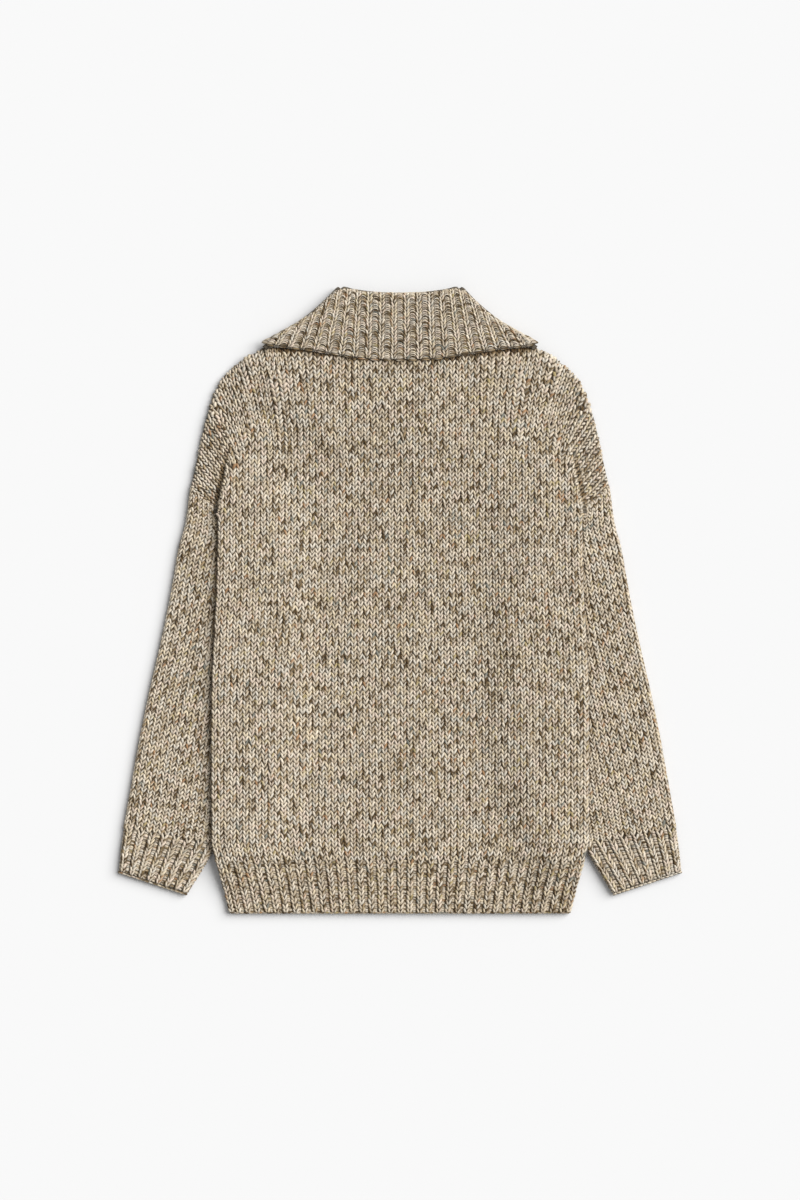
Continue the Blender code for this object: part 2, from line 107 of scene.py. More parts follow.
# y, x where the body lies at full height over the tucked sleeve
tuckTable = np.array([
    (-374.0, 206.0), (-336.0, 199.0), (-303.0, 190.0), (-276.0, 178.0),
    (-228.0, 162.0), (-144.0, 150.0), (-60.0, 146.0), (36.0, 148.0),
    (66.0, 152.0), (100.0, 162.0), (144.0, 182.0), (192.0, 194.0),
])

# row, outer x and y, inner x and y, from the armhole to the cuff
sleeveTable = np.array([
    (0, 252.0, 130.0, 213.0, 95.6),
    (1, 257.4, 91.2, 186.0, 62.4),
    (2, 265.2, 62.4, 166.8, 24.0),
    (3, 275.4, 4.8, 158.4, -36.0),
    (4, 287.4, -52.8, 158.4, -98.4),
    (5, 300.6, -110.4, 165.6, -162.0),
    (6, 312.6, -168.0, 180.0, -218.0),
    (7, 322.8, -225.6, 198.0, -264.0),
    (8, 331.8, -274.8, 218.0, -293.4),
])

cuffTable = np.array([
    (0, 331.9, -275.4, 218.2, -294.0),
    (1, 335.4, -300.6, 236.0, -323.7),
    (2, 337.8, -325.8, 254.4, -353.4),
])

# t, fold x and y, outer edge x and y, from the centre back to the centre front
collarTable = np.array([
    (0.00, 0.0, 362.9, 0.0, 287.5),
    (0.25, 18.5, 363.0, 42.0, 288.6),
    (0.50, 36.0, 364.9, 84.0, 293.4),
    (0.75, 54.0, 367.2, 124.0, 299.6),
    (1.00, 72.0, 367.9, 160.8, 298.8),
    (1.25, 64.0, 328.0, 138.0, 268.0),
    (1.50, 54.0, 303.0, 112.0, 238.0),
    (1.75, 30.0, 272.0, 84.0, 212.0),
    (2.00, 3.5, 254.0, 57.6, 192.0),
])

# rib number from the centre back, low end of its line on the collar, its top end on the outline, roll there
collarRibTable = np.array([
    (0.0, 0.0, 286.8, 0.0, 367.4, 4.15),
    (1.0, 15.4, 286.9, 14.6, 367.4, 4.15),
    (2.0, 30.7, 287.4, 29.0, 368.2, 4.15),
    (3.0, 46.1, 288.7, 43.2, 369.6, 4.15),
    (4.0, 61.8, 291.0, 55.4, 371.6, 4.15),
    (5.0, 78.0, 294.0, 66.6, 373.6, 4.6),
    (6.0, 94.2, 296.4, 77.4, 371.0, 6.0),
    (7.0, 109.2, 298.8, 92.4, 357.0, 8.0),
    (8.0, 124.8, 300.6, 106.0, 344.6, 8.6),
    (9.0, 140.4, 302.4, 123.6, 332.4, 8.6),
    (10.0, 155.0, 304.6, 143.0, 321.2, 8.0),
    (10.7, 165.0, 305.6, 164.6, 309.4, 3.0),
])


# cubic through the rows of a table with even slopes at each row
def readTable(table, key, column):
    knots, values = table[:, 0], table[:, column]
    slopes = np.gradient(values, knots)
    key = np.clip(key, knots[0], knots[-1])
    index = np.clip(np.searchsorted(knots, key) - 1, 0, len(knots) - 2)
    span = knots[index + 1] - knots[index]
    f = (key - knots[index]) / span
    first = (2 * f ** 3 - 3 * f ** 2 + 1) * values[index] + (f ** 3 - 2 * f ** 2 + f) * span * slopes[index]
    last = (3 * f ** 2 - 2 * f ** 3) * values[index + 1] + (f ** 3 - f ** 2) * span * slopes[index + 1]
    return first + last


# the two edges of a sleeve, a cuff or the collar: columns 1 and 2 of its table, and columns 3 and 4
def readEdges(table, key):
    return [np.column_stack([readTable(table, key, c) for c in pair]) for pair in ((1, 2), (3, 4))]


# straight lines between the rows of a table
def readLines(table, key, *columns):
    return [np.interp(key, table[:, 0], table[:, c]) for c in columns]


# length of each path of points up to each row: the sum of its steps
def pathLength(points):
    steps = np.linalg.norm(np.diff(points, axis=0), axis=-1)
    return np.concatenate([np.zeros_like(steps[:1]), np.cumsum(steps, axis=0)])


# vectors over their own length
def unit(vectors):
    return vectors / np.maximum(np.linalg.norm(vectors, axis=-1, keepdims=True), 1e-9)


# 3 f^2 - 2 f^3 between low and high
def smoothStep(low, high, value):
    f = np.clip((value - low) / (high - low), 0.0, 1.0)
    return f * f * (3 - 2 * f)


# half the body's width at a height
def sideX(y):
    return readLines(sideTable, y, 1)[0]


# parabola from the centre back to the shoulder
def backNeck(x):
    rise = body["shoulderY"] - body["backNeckY"]
    return body["backNeckY"] + rise * (x / body["neckHalf"]) ** 2


# half an ellipse below the shoulders
def frontNeck(x):
    depth = np.sqrt(np.clip(1 - (x / body["neckHalf"]) ** 2, 0, 1))
    return body["shoulderY"] - (body["shoulderY"] - body["frontNeckY"]) * depth


# straight up, then along a quadratic curve (1-f)^2 P0 + 2f(1-f) P1 + f^2 P2 to the outline
def columnPath(wales, neck, straightSteps, curveSteps):
    a = np.abs(wales)
    onNeck = a < body["neckHalf"]
    endX, endY, lean = readLines(shoulderTable, a, 1, 2, 3)
    endX = np.where(onNeck, a, endX)
    endY = np.where(onNeck, neck(np.minimum(a, body["neckHalf"])), endY)
    rise = np.clip((endX - a) / np.tan(np.radians(lean)), 0, body["tallestTurn"])
    rise = np.where(onNeck, 0.5 * (endY - body["curveY"]), rise)
    turnY = endY - rise
    share = np.interp(a, (body["turnFrom"], body["sideX"]), body["turnShare"])
    startY = turnY - share * np.hypot(endX - a, rise)
    startY = np.where(onNeck, body["curveY"], np.minimum(startY, body["curveY"]))
    f = np.linspace(0, 1, straightSteps)[:, None]
    lowY = body["hemSeamY"] + f * (startY - body["hemSeamY"])
    lowX = a * sideX(lowY) / body["sideX"]
    f = np.linspace(0, 1, curveSteps)[1:, None]
    startX = a * sideX(startY) / body["sideX"]
    highX = (1 - f) ** 2 * startX + 2 * f * (1 - f) * a + f ** 2 * endX
    highY = (1 - f) ** 2 * startY + 2 * f * (1 - f) * turnY + f ** 2 * endY
    side = np.where(wales < 0, -1.0, 1.0)
    return np.vstack([lowX, highX]) * side, np.vstack([lowY, highY])


# distance outside the side fold over the sleeve, which is a straight line above the armhole seam
def outsideFold(x, y):
    low, top = body["seamLow"], body["foldTop"]
    foldX = low[0] + (y - low[1]) * (top[0] - low[0]) / (top[1] - low[1])
    return np.where(y > low[1], np.abs(x) - foldX, -50.0)


# full height over the sleeve, a smooth ramp inside it, and a step down outside the side fold
def tuckLift(x, y):
    along = smoothStep(body["foldTop"][1] + 4, body["tuckTopY"], y) * smoothStep(*body["tuckHemY"], y)
    across = smoothStep(-body["tuckRamp"], 0.0, np.abs(x) - readLines(tuckTable, y, 1)[0])
    fall = smoothStep(*body["flapStep"], outsideFold(x, y))
    fall = fall * smoothStep(body["seamLow"][1], body["seamLow"][1] + 3.0, y)
    return body["tuckLift"] * along * across * (1 - fall)


# full height over the front half of the collar, falling to nothing past its edge
def collarLift(x, y):
    tip, point = body["collarTip"], body["collarPoint"]
    run = np.subtract(tip, point)
    across = np.array([run[1], -run[0]]) / np.hypot(*run)
    beyond = (np.abs(x) - tip[0]) * across[0] + (y - tip[1]) * across[1]
    beyond = np.maximum(beyond - body["collarMargin"][0], point[1] - body["collarMargin"][1] - y)
    return body["collarLift"] * (1 - smoothStep(0.0, body["collarRamp"], beyond))


# height of the body's underside: over the sleeves plus over the collar
def bodyLift(x, y):
    return tuckLift(x, y) + collarLift(x, y)


# distance to the outline over edgeRound, turned into the height of a quarter ellipse
def edgeProfile(x, y):
    points = 260
    keys = np.linspace(shoulderTable[0, 0], shoulderTable[-1, 0], points)
    sideY = np.linspace(body["hemY"], body["seamLow"][1], points)
    outline = np.vstack([
        np.column_stack(readLines(shoulderTable, keys, 1, 2)), np.column_stack([sideX(sideY), sideY])])
    away = [np.hypot(np.abs(rowX)[:, None] - outline[:, 0], rowY[:, None] - outline[:, 1]).min(axis=1)
            for rowX, rowY in zip(x, y)]
    inside = np.clip(np.array(away) / body["edgeRound"], 0, 1)
    return np.sqrt(1 - (1 - inside) ** 2)


# linear red, green and blue of a ply, and how often it is seen
lightPlies = np.array([
    (0.545, 0.474, 0.374, 0.36),
    (0.510, 0.461, 0.382, 0.16),
    (0.530, 0.448, 0.322, 0.14),
    (0.528, 0.438, 0.350, 0.12),
    (0.440, 0.370, 0.278, 0.22),
])
darkPlies = np.array([
    (0.074, 0.045, 0.017, 0.40),
    (0.128, 0.088, 0.042, 0.25),
    (0.235, 0.168, 0.090, 0.13),
    (0.260, 0.150, 0.075, 0.06),
    (0.330, 0.265, 0.180, 0.08),
    (0.150, 0.150, 0.125, 0.05),
    (0.290, 0.230, 0.110, 0.05),
])

finish = {
    "turns": 0.35,              # of the twist in one strand
    "fibres": 1300.0,           # fineness of the fibres, in one metre
    "balance": 0.40,            # more is lighter: how much of the light ply shows
    "yarnBump": (0.0004, 0.7),  # depth in metres, and strength
    "lean": 2.4,                # of the pattern's stitches
    "darkShare": 0.8,           # of the dark ply in its half of a stitch, and of the painted shade in the hollows
    # painted shade: colour of the hollows between the legs
    "hollowShade": (0.066, 0.042, 0.018),
    "underYarn": (0.42, 0.0008),    # painted shade: share of its colour left to the dark cloth under the yarn, standing in for the shadow between the strands; and depth of the relief in metres
    "plain": (1.0, 0.0022),
    "hornDark": (0.045, 0.024, 0.012, 1.0),
    "hornLight": (0.24, 0.15, 0.08, 1.0),
    "hornBump": (0.0001, 0.3),
}


# a node group whose inputs are numbers, or a vector where no value is given; its outputs are numbers
def newGroup(name, inputs, outputs):
    group = bpy.data.node_groups.new(name, "ShaderNodeTree")
    for label, value in inputs.items():
        kind = "NodeSocketVector" if value is None else "NodeSocketFloat"
        socket = group.interface.new_socket(label, in_out="INPUT", socket_type=kind)
        if value is not None:
            socket.default_value = value
    for label in outputs:
        group.interface.new_socket(label, in_out="OUTPUT", socket_type="NodeSocketFloat")
    return group, group.nodes.new("NodeGroupInput"), group.nodes.new("NodeGroupOutput")


# a socket takes another socket's value, or the value given
def feed(tree, socket, value):
    if isinstance(value, bpy.types.NodeSocket):
        tree.links.new(value, socket)
    else:
        socket.default_value = value


# a node with its settings, and values or links for its inputs
def addNode(tree, kind, inputs=(), **settings):
    node = tree.nodes.new(kind)
    for key, value in settings.items():
        setattr(node, key, value)
    for label, value in dict(inputs).items():
        feed(tree, node.inputs[label], value)
    return node


# one sum, over numbers or sockets
def mathNode(tree, operation, *values):
    return addNode(tree, "ShaderNodeMath", enumerate(values), operation=operation).outputs[0]


# first colour at factor 0, second at 1
def mixColour(tree, factor, first, second):
    return addNode(tree, "ShaderNodeMix", {0: factor, 6: first, 7: second}, data_type="RGBA").outputs[2]


# fine noise over the piece's own coordinates
def noiseNode(tree, **inputs):
    coords = addNode(tree, "ShaderNodeTexCoord")
    return addNode(tree, "ShaderNodeTexNoise", {"Vector": coords.outputs["Object"], **inputs}).outputs["Fac"]


# two plies wound round a strand: a wave of (turns x length + way round), with fine fibres over it
def makeTwistGroup():
    group, entry, leave = newGroup(
        "pliedTwist",
        {"Place": None, "Turns": finish["turns"], "Fibres": finish["fibres"], "Balance": finish["balance"]},
        ("Mask", "Height"))
    calc = partial(mathNode, group)
    place = addNode(group, "ShaderNodeSeparateXYZ", {0: entry.outputs["Place"]}).outputs
    wound = calc("ADD", calc("MULTIPLY", place[1], entry.outputs["Turns"]), place[0])
    wave = calc("SINE", calc("MULTIPLY", wound, 2 * np.pi))
    fuzz = calc("SUBTRACT", noiseNode(group, Scale=entry.outputs["Fibres"], Detail=3.0), 0.5)
    mask = calc("ADD", calc("MULTIPLY", wave, 0.9), calc("MULTIPLY", fuzz, 2.0))
    clamp = addNode(group, "ShaderNodeClamp", {"Value": calc("ADD", mask, entry.outputs["Balance"])})
    feed(group, leave.inputs["Mask"], clamp.outputs[0])
    feed(group, leave.inputs["Height"], calc("ADD", calc("ABSOLUTE", wave), calc("MULTIPLY", fuzz, 1.4)))
    return group


# V stitches as a pattern: rows lean by |distance from the column's middle|, each a half wave high
def makeStitchGroup():
    group, entry, leave = newGroup(
        "stitchField", {"Stitches": None, "Lean": finish["lean"]}, ("Height", "Tone", "Shade"))
    calc = partial(mathNode, group)
    place = addNode(group, "ShaderNodeSeparateXYZ", {0: entry.outputs["Stitches"]}).outputs
    out = calc("ABSOLUTE", calc("SUBTRACT", calc("FRACT", place[0]), 0.5))
    leaning = calc("SUBTRACT", place[1], calc("MULTIPLY", out, entry.outputs["Lean"]))
    row = calc("FRACT", leaning)
    bulge = calc("SINE", calc("MULTIPLY", row, np.pi))
    leg = calc("ABSOLUTE", calc("SINE", calc("MULTIPLY", out, 2 * np.pi)))
    feed(group, leave.inputs["Height"], calc("MULTIPLY", bulge, calc("POWER", leg, 0.5)))
    half = calc("FLOOR", calc("MULTIPLY", place[0], 2.0))
    number = addNode(group, "ShaderNodeCombineXYZ", {0: half, 1: calc("FLOOR", leaning)}).outputs[0]
    white = addNode(group, "ShaderNodeTexWhiteNoise", {"Vector": number})
    feed(group, leave.inputs["Tone"], white.outputs["Value"])
    feed(group, leave.inputs["Shade"], calc("GREATER_THAN", row, 0.55))
    return group


# a Principled material with these values on the shader's own sockets
def newMaterial(name, roughness, sheen, specular=0.2):
    material = bpy.data.materials.new(name)
    material.use_nodes = True
    shader = material.node_tree.nodes["Principled BSDF"]
    values = {"Roughness": roughness, "Sheen Weight": sheen, "Sheen Roughness": 0.6,
              "Specular IOR Level": specular}
    for label, value in values.items():
        shader.inputs[label].default_value = value
    return material, material.node_tree, shader


# the shader takes a colour, and its normal from a height
def feedShader(tree, shader, colour, height, depth, strength):
    bump = addNode(tree, "ShaderNodeBump", {"Distance": depth, "Strength": strength, "Height": height})
    feed(tree, shader.inputs["Base Color"], colour)
    feed(tree, shader.inputs["Normal"], bump.outputs[0])


# one of the piece's own maps
def uvNode(tree, name):
    return addNode(tree, "ShaderNodeUVMap", uv_map=name).outputs[0]


# marl yarn: the strand's two ply colours, mixed by the twist
def makeYarnMaterial(twistGroup):
    material, tree, shader = newMaterial("marlYarn", 0.9, 0.05)
    twist = addNode(tree, "ShaderNodeGroup", {"Place": uvNode(tree, "twist")}, node_tree=twistGroup).outputs
    one, two = [addNode(tree, "ShaderNodeAttribute", attribute_name=label).outputs["Color"]
                for label in ("plyOne", "plyTwo")]
    feedShader(tree, shader, mixColour(tree, twist["Mask"], two, one), twist["Height"], *finish["yarnBump"])
    return material


# steps of colour over a value from 0 to 1, each as wide as the ply is common
def plyRamp(tree, value, palette, shade):
    ramp = addNode(tree, "ShaderNodeValToRGB", {0: value})
    ramp.color_ramp.interpolation = "CONSTANT"
    elements = ramp.color_ramp.elements
    while len(elements) < len(palette):
        elements.new(0.5)
    share = np.concatenate([[0.0], np.cumsum(palette[:, 3]) / palette[:, 3].sum()])
    for number, row in enumerate(palette):
        elements[number].position = share[number]
        elements[number].color = (*(row[:3] * shade), 1.0)
    return ramp.outputs[0]


# knitted cloth without separate strands: light and dark plies on each leg, with painted shade in the hollows;
# a shade below 1 darkens all of it as painted shade
def makeKnitMaterial(name, stitchGroup, shade, depth):
    material, tree, shader = newMaterial(name, 0.92, 0.1)
    field = addNode(
        tree, "ShaderNodeGroup", {"Stitches": uvNode(tree, "stitches")}, node_tree=stitchGroup).outputs
    light = plyRamp(tree, field["Tone"], lightPlies, shade)
    dark = plyRamp(tree, field["Tone"], darkPlies[::-1], shade)
    darkness = mathNode(tree, "MULTIPLY", field["Shade"], finish["darkShare"])
    # painted shade: the low parts of the stitch relief take the hollows' dark colour
    hollowShade = mathNode(tree, "SUBTRACT", 1.0, field["Height"])
    hollowShade = mathNode(tree, "MULTIPLY", hollowShade, finish["darkShare"])
    deep = (*(part * shade for part in finish["hollowShade"]), 1.0)
    colour = mixColour(tree, hollowShade, mixColour(tree, darkness, light, dark), deep)
    feedShader(tree, shader, colour, field["Height"], depth, 1.0)
    return material


# horn: cloudy brown, darker in slow bands through it
def makeButtonMaterial():
    material, tree, shader = newMaterial("horn", 0.32, 0.0, 0.5)
    cloud = noiseNode(tree, Scale=160.0, Detail=5.0, Distortion=1.5)
    colour = mixColour(tree, cloud, finish["hornDark"], finish["hornLight"])
    feedShader(tree, shader, colour, cloud, *finish["hornBump"])
    return material


yarnMaterial = makeYarnMaterial(makeTwistGroup())
stitchGroup = makeStitchGroup()
# painted shade: the knit under the yarn is made dark, a sheet standing in for the shadow between the strands
shadedGroundMaterial = makeKnitMaterial("shadedKnitUnderYarn", stitchGroup, *finish["underYarn"])
knitMaterial = makeKnitMaterial("knitPlain", stitchGroup, *finish["plain"])
buttonMaterial = makeButtonMaterial()
coveredCloth = [shadedGroundMaterial, knitMaterial]   # under the yarn, darkened as painted shade, and where no yarn lies
print("stage 2: materials made")


# the sum of p0 . (p1 x p2) over the faces is positive when they face out
def facesOut(points, faces):
    total = 0.0
    for group in faces:
        corners = points[group]
        for k in range(1, group.shape[1] - 1):
            total += np.einsum("ij,ij->", corners[:, 0], np.cross(corners[:, k], corners[:, k + 1]))
    return total > 0


# a finished piece at the origin, on the root body
def addPiece(name, mesh):
    obj = bpy.data.objects.new(name, mesh)
    bpy.context.scene.collection.objects.link(obj)
    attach(obj, "root")
    return obj


# faces: arrays of corner numbers; uvs: a name, and pairs for each of those corners; colours: for each point
def makeMesh(name, points, faces, materials, kinds=None, uvs=(), colours=()):
    turned = slice(None) if facesOut(points, faces) else slice(None, None, -1)
    faces = [group[:, turned] for group in faces]
    mesh = bpy.data.meshes.new(name)
    sizes = np.concatenate([np.full(len(group), group.shape[1]) for group in faces])
    corners = np.concatenate([group.ravel() for group in faces])
    mesh.vertices.add(len(points))
    mesh.vertices.foreach_set("co", (points * mm).astype(np.float32).ravel())
    mesh.loops.add(len(corners))
    mesh.loops.foreach_set("vertex_index", corners.astype(np.int32))
    mesh.polygons.add(len(sizes))
    mesh.polygons.foreach_set("loop_start", (np.cumsum(sizes) - sizes).astype(np.int32))
    for material in materials:
        mesh.materials.append(material)
    if len(materials) > 1:
        mesh.polygons.foreach_set("material_index", kinds.astype(np.int32))
    mesh.polygons.foreach_set("use_smooth", np.ones(len(sizes), dtype=bool))
    mesh.update(calc_edges=True)
    for uvName, groups in uvs:
        values = np.concatenate([group[:, turned].ravel() for group in groups])
        mesh.uv_layers.new(name=uvName).data.foreach_set("uv", values.astype(np.float32))
    for colourName, values in colours:
        attribute = mesh.color_attributes.new(colourName, "FLOAT_COLOR", "POINT")
        attribute.data.foreach_set("color", values.astype(np.float32).ravel())
    return addPiece(name, mesh)


# four neighbours in a grid of numbers make a quad; closed joins its last column to its first
def gridQuads(index, closed=False):
    if closed:
        index = np.hstack([index, index[:, :1]])
    a, b, c, d = index[:-1, :-1], index[:-1, 1:], index[1:, 1:], index[1:, :-1]
    return np.stack([a, b, c, d], axis=-1).reshape(-1, 4)


# quads from a closed row of point numbers to the same row "behind" numbers on
def rimQuads(row, behind):
    after = np.roll(row, -1)
    return np.stack([row + behind, after + behind, after, row], axis=-1)


# cloth between two grids of points, which have the same places in the stitches
def clothShell(name, near, far, faces, kinds, places, materials):
    points = np.vstack([near.reshape(-1, 3), far.reshape(-1, 3)])
    uv = np.vstack([places.reshape(-1, 2)] * 2)[faces]
    return makeMesh(name, points, [faces], materials, kinds, [("stitches", [uv])])


# a wall between an upper and a lower grid of points, closed round its four edges
def clothWall(name, upper, lower, places, materials, slot):
    top = np.arange(upper[..., 0].size).reshape(upper.shape[:2])
    around = np.concatenate([top[0, :-1], top[:-1, -1], top[-1, :0:-1], top[:0:-1, 0]])
    shown = gridQuads(top)
    faces = np.vstack([shown, gridQuads(top + top.size)[:, ::-1], rimQuads(around, top.size)])
    kinds = np.arange(len(faces)) >= len(shown)
    return clothShell(name, upper, lower, faces, kinds, places, materials)


# a tube of wall between an outer and an inner row of rings, closed at both ends
def clothTube(name, outer, inner, places, upperShare):
    rows, count = outer.shape[:2]
    ring = np.arange(rows * count).reshape(rows, count)
    out, within = gridQuads(ring, True), gridQuads(ring + ring.size, True)[:, ::-1]
    ends = rimQuads(ring[0], ring.size), rimQuads(ring[-1], ring.size)[:, ::-1]
    faces = np.vstack([out, within, *ends])
    kinds = np.ones(len(faces))
    kinds[:len(out)] = np.tile(np.arange(count) >= upperShare, rows - 1)
    return clothShell(name, outer, inner, faces, kinds, places, coveredCloth)


# bilinear reading of a grid of points at fractional rows and columns
def readGrid(grid, row, column):
    row = np.clip(row, 0, grid.shape[0] - 1.001)
    column = np.clip(column, 0, grid.shape[1] - 1.001)
    r, c = row.astype(int), column.astype(int)
    fr, fc = (row - r)[..., None], (column - c)[..., None]
    low = grid[r, c] * (1 - fc) + grid[r, c + 1] * fc
    high = grid[r + 1, c] * (1 - fc) + grid[r + 1, c + 1] * fc
    return low * (1 - fr) + high * fr


# a grid whose columns are at u and rows at v, both evenly spaced, with normals from the cross product
def makeSurface(grid, u, v):
    normal = unit(np.cross(np.gradient(grid, axis=1), np.gradient(grid, axis=0)))
    if normal[..., 2].mean() < 0:
        normal = -normal
    return {"grid": grid, "normals": normal, "u": (u[0], u[1] - u[0]), "v": (v[0], v[1] - v[0])}


# the surface's point or normal at u and v
def readSurface(surface, u, v, what="grid"):
    return readGrid(
        surface[what], (v - surface["v"][0]) / surface["v"][1], (u - surface["u"][0]) / surface["u"][1])


strand = {
    "along": np.array([0.00, 0.06, 0.34, 0.66, 0.94, 1.00]),      # share of the length at each ring
    "thickness": np.array([0.00, 0.72, 1.00, 1.00, 0.70, 0.00]),  # share of the radius there
    "sides": 4,
    "shadeTint": (1.0, 1.22, 1.60, 0.0),                              # power of the painted shade in red, green and blue, so that shaded yarn turns browner
    "flatten": (1.24, 1.00),                                      # breadth and height of its section
    "facing": 0.12,                                               # turn of the light ply at its start: partly the twist, and partly painted light, since every strand then shows its pale ply on the flank towards the key light
    "wander": 0.115,                                              # how much that turn differs
    "run": 1.3,                                                   # strands that a colour lasts on average
    "uneven": (0.07, 0.8, 1.2),                                   # spread of sizes and shades, least and most
    "scatter": 0.28,                                              # how far a stitch is out of line
}


# numbers round 1, within the least and the most
def unevenly(shape):
    spread, least, most = strand["uneven"]
    return draw.normal(1.0, spread, shape).clip(least, most)


# colours in their order along the yarn; a new one is picked every "run" strands on average
def plyColours(palette, count):
    share = np.cumsum(palette[:, 3]) / palette[:, 3].sum()
    pick = np.searchsorted(share, draw.random(count))
    source = np.where(draw.random(count) < 1 - 1 / strand["run"], 0, np.arange(count))
    colour = palette[pick[np.maximum.accumulate(source)], :3] * unevenly((count, 1))
    return np.column_stack([colour, np.ones(count)])


# corner pairs (round, along) for each face of one strand, quads first and then the tips' triangles
def strandPattern():
    along, sides = strand["along"], strand["sides"]
    turn = np.arange(sides + 1) / sides
    left, right, middle = turn[:-1], turn[1:], (turn[:-1] + turn[1:]) / 2

    def corners(places, lengths):
        return np.stack([np.stack(places, -1), np.tile(lengths, (sides, 1))], -1)

    quads = [corners((left, right, right, left), (low, low, high, high))
             for low, high in zip(along[1:-2], along[2:-1])]
    first = corners((middle, right, left), (along[0], along[1], along[1]))
    last = corners((left, right, middle), (along[-2], along[-2], along[-1]))
    return np.concatenate(quads), np.concatenate([first, last])


# rows holds u, v and depth, with a line for each strand and a column for each ring; a ring is
# centre + sideways cos(angle) radius + upward sin(angle) radius, across the path
def strandMesh(name, surface, rows, radius=knit["yarnRadius"], tone=1.0):
    u, v, depth = rows
    count = len(u)
    # tone is painted shade in creases and gaps, or a plain change of brightness; darker tones turn browner
    tone = np.broadcast_to(tone, count)[:, None] ** np.array(strand["shadeTint"])
    radius = radius * unevenly(count)
    normal = readSurface(surface, u, v, "normals")
    centre = readSurface(surface, u, v) + normal * (depth - knit["yarnSink"])[..., None]
    tangent = unit(np.gradient(centre, axis=1))
    sideways = unit(np.cross(tangent, normal))
    upward = np.cross(sideways, tangent)
    sides = strand["sides"]
    angle = (np.arange(sides) + 0.5) / sides * 2 * np.pi
    size = (radius[:, None] * strand["thickness"][None, 1:-1])[..., None, None]
    broad, high = strand["flatten"]
    ring = centre[:, 1:-1, None] + sideways[:, 1:-1, None] * np.cos(angle)[:, None] * size * broad
    ring = ring + upward[:, 1:-1, None] * np.sin(angle)[:, None] * size * high
    points = np.concatenate([centre[:, :1], ring.reshape(count, -1, 3), centre[:, -1:]], axis=1)
    each = points.shape[1]      # points in one strand
    index = 1 + np.arange(each - 2).reshape(-1, sides)
    tris = np.vstack([
        np.stack([np.zeros(sides, int), np.roll(index[0], -1), index[0]], -1),
        np.stack([index[-1], np.roll(index[-1], -1), np.full(sides, each - 1)], -1),
    ])
    offset = np.arange(count)[:, None, None] * each
    faces = [(part[None] + offset).reshape(-1, part.shape[1]) for part in (gridQuads(index, True), tris)]
    phase = np.zeros((count, 1, 1, 2))
    # partly painted light: the pale ply starts on each strand's flank towards the key light
    phase[..., 0] = draw.normal(strand["facing"], strand["wander"], (count, 1, 1))
    cells = int(np.ceil(np.sqrt(count)))    # the bake map has a square cell for each strand
    number = np.arange(count)
    corner = (np.stack([number % cells, number // cells], -1) + 0.08)[:, None, None] / cells
    twist, atlas = [], []
    for part in strandPattern():
        shape = (-1, part.shape[1], 2)
        twist.append((part[None] + phase).reshape(shape))
        atlas.append((part[None] * 0.84 / cells + corner).reshape(shape))
    colours = [(label, np.repeat(plyColours(palette, count) * tone, each, axis=0))
               for label, palette in (("plyOne", lightPlies), ("plyTwo", darkPlies))]
    return makeMesh(
        name, points.reshape(-1, 3), faces, [yarnMaterial],
        uvs=[("twist", twist), ("OFBake", atlas)], colours=colours)


# the two legs of each stitch lean apart as a V: u = s w (low + wide f), v = h (start + reach f)
# and depth = rise sin(pi 1.1 f) - dip f^3 - base (1-f)^3
lookParts = ("low", "wide", "start", "reach", "rise", "dip", "base")
vStitch = dict(zip(lookParts, (-0.04, 0.56, -0.40, 1.60, 0.5, 1.3, 0.8)))
capStitch = dict(zip(lookParts, (0.08, 0.34, -0.40, 1.45, 0.5, 1.3, 0.9)))
ribStitch = dict(zip(lookParts, (0.00, 0.50, -0.35, 1.50, 0.8, 1.2, 0.7)))
grooveStitch = dict(zip(lookParts, (0.06, 0.48, -0.40, 1.60, 0.1, 0.6, 0.5)))


# one look passing into another, with a share for each stitch
def mixLooks(first, second, share):
    share = np.repeat(share, 2)[:, None]
    return {key: first[key] + (second[key] - first[key]) * share for key in first}


# two strands for each stitch, left and right
def vLegs(u, v, width, height, look):
    f = np.repeat(strand["along"][None], 2 * len(u), axis=0)
    s = np.tile([-1.0, 1.0], len(u))[:, None]
    width = np.repeat(np.broadcast_to(width, len(u)), 2)[:, None]
    uu = np.repeat(u, 2)[:, None] + s * width * (look["low"] + look["wide"] * f)
    vv = np.repeat(v, 2)[:, None] + height * (look["start"] + look["reach"] * f)
    depth = look["rise"] * np.sin(np.pi * np.clip(f * 1.1, 0, 1))
    return uu, vv, depth - look["dip"] * f ** 3 - look["base"] * (1 - f) ** 3


# share of the length at each ring of each strand, and an arch over it: 1 - (2f-1)^2
def archOver(count):
    f = np.repeat(strand["along"][None], count, axis=0)
    return f, 1 - (2 * f - 1) ** 2


# an arch across a purl column: v rises by "arch" h in the middle, and the ends go down
def purlArcs(u, v, width, height, arch, lift):
    f, hump = archOver(len(u))
    return u[:, None] + width * (f - 0.5), v[:, None] + height * arch * (hump - 0.5), lift + 0.9 * hump - 0.9


# a chain of short strands along an edge, each a slight arch
def edgeChain(u, v, width, lift):
    f, hump = archOver(len(u))
    v = np.broadcast_to(v, len(u))[:, None]
    return u[:, None] + 1.25 * width * (f - 0.5), v + 0.5 * hump - 0.4, lift + 0.5 * hump


# strands stop a little past the end of their column, and those that start past it are left out
def trimStrands(rows, columns, ends):
    uu, vv, depth = rows
    limit = np.interp(uu, columns, ends)
    keep = vv[:, 0] < limit[:, 0] - 1.0
    return (uu[keep], np.minimum(vv, limit + 1.0)[keep], depth[keep]), keep


# how much wider the columns stand than they were knitted: |across x along| / |along|
def columnSpread(surface, u, v):
    across = (readSurface(surface, u + 2, v) - readSurface(surface, u - 2, v)) / 4
    along = readSurface(surface, u, v + 2) - readSurface(surface, u, v - 2)
    area = np.abs(across[:, 0] * along[:, 1] - across[:, 1] * along[:, 0])
    return area / np.hypot(along[:, 0], along[:, 1])


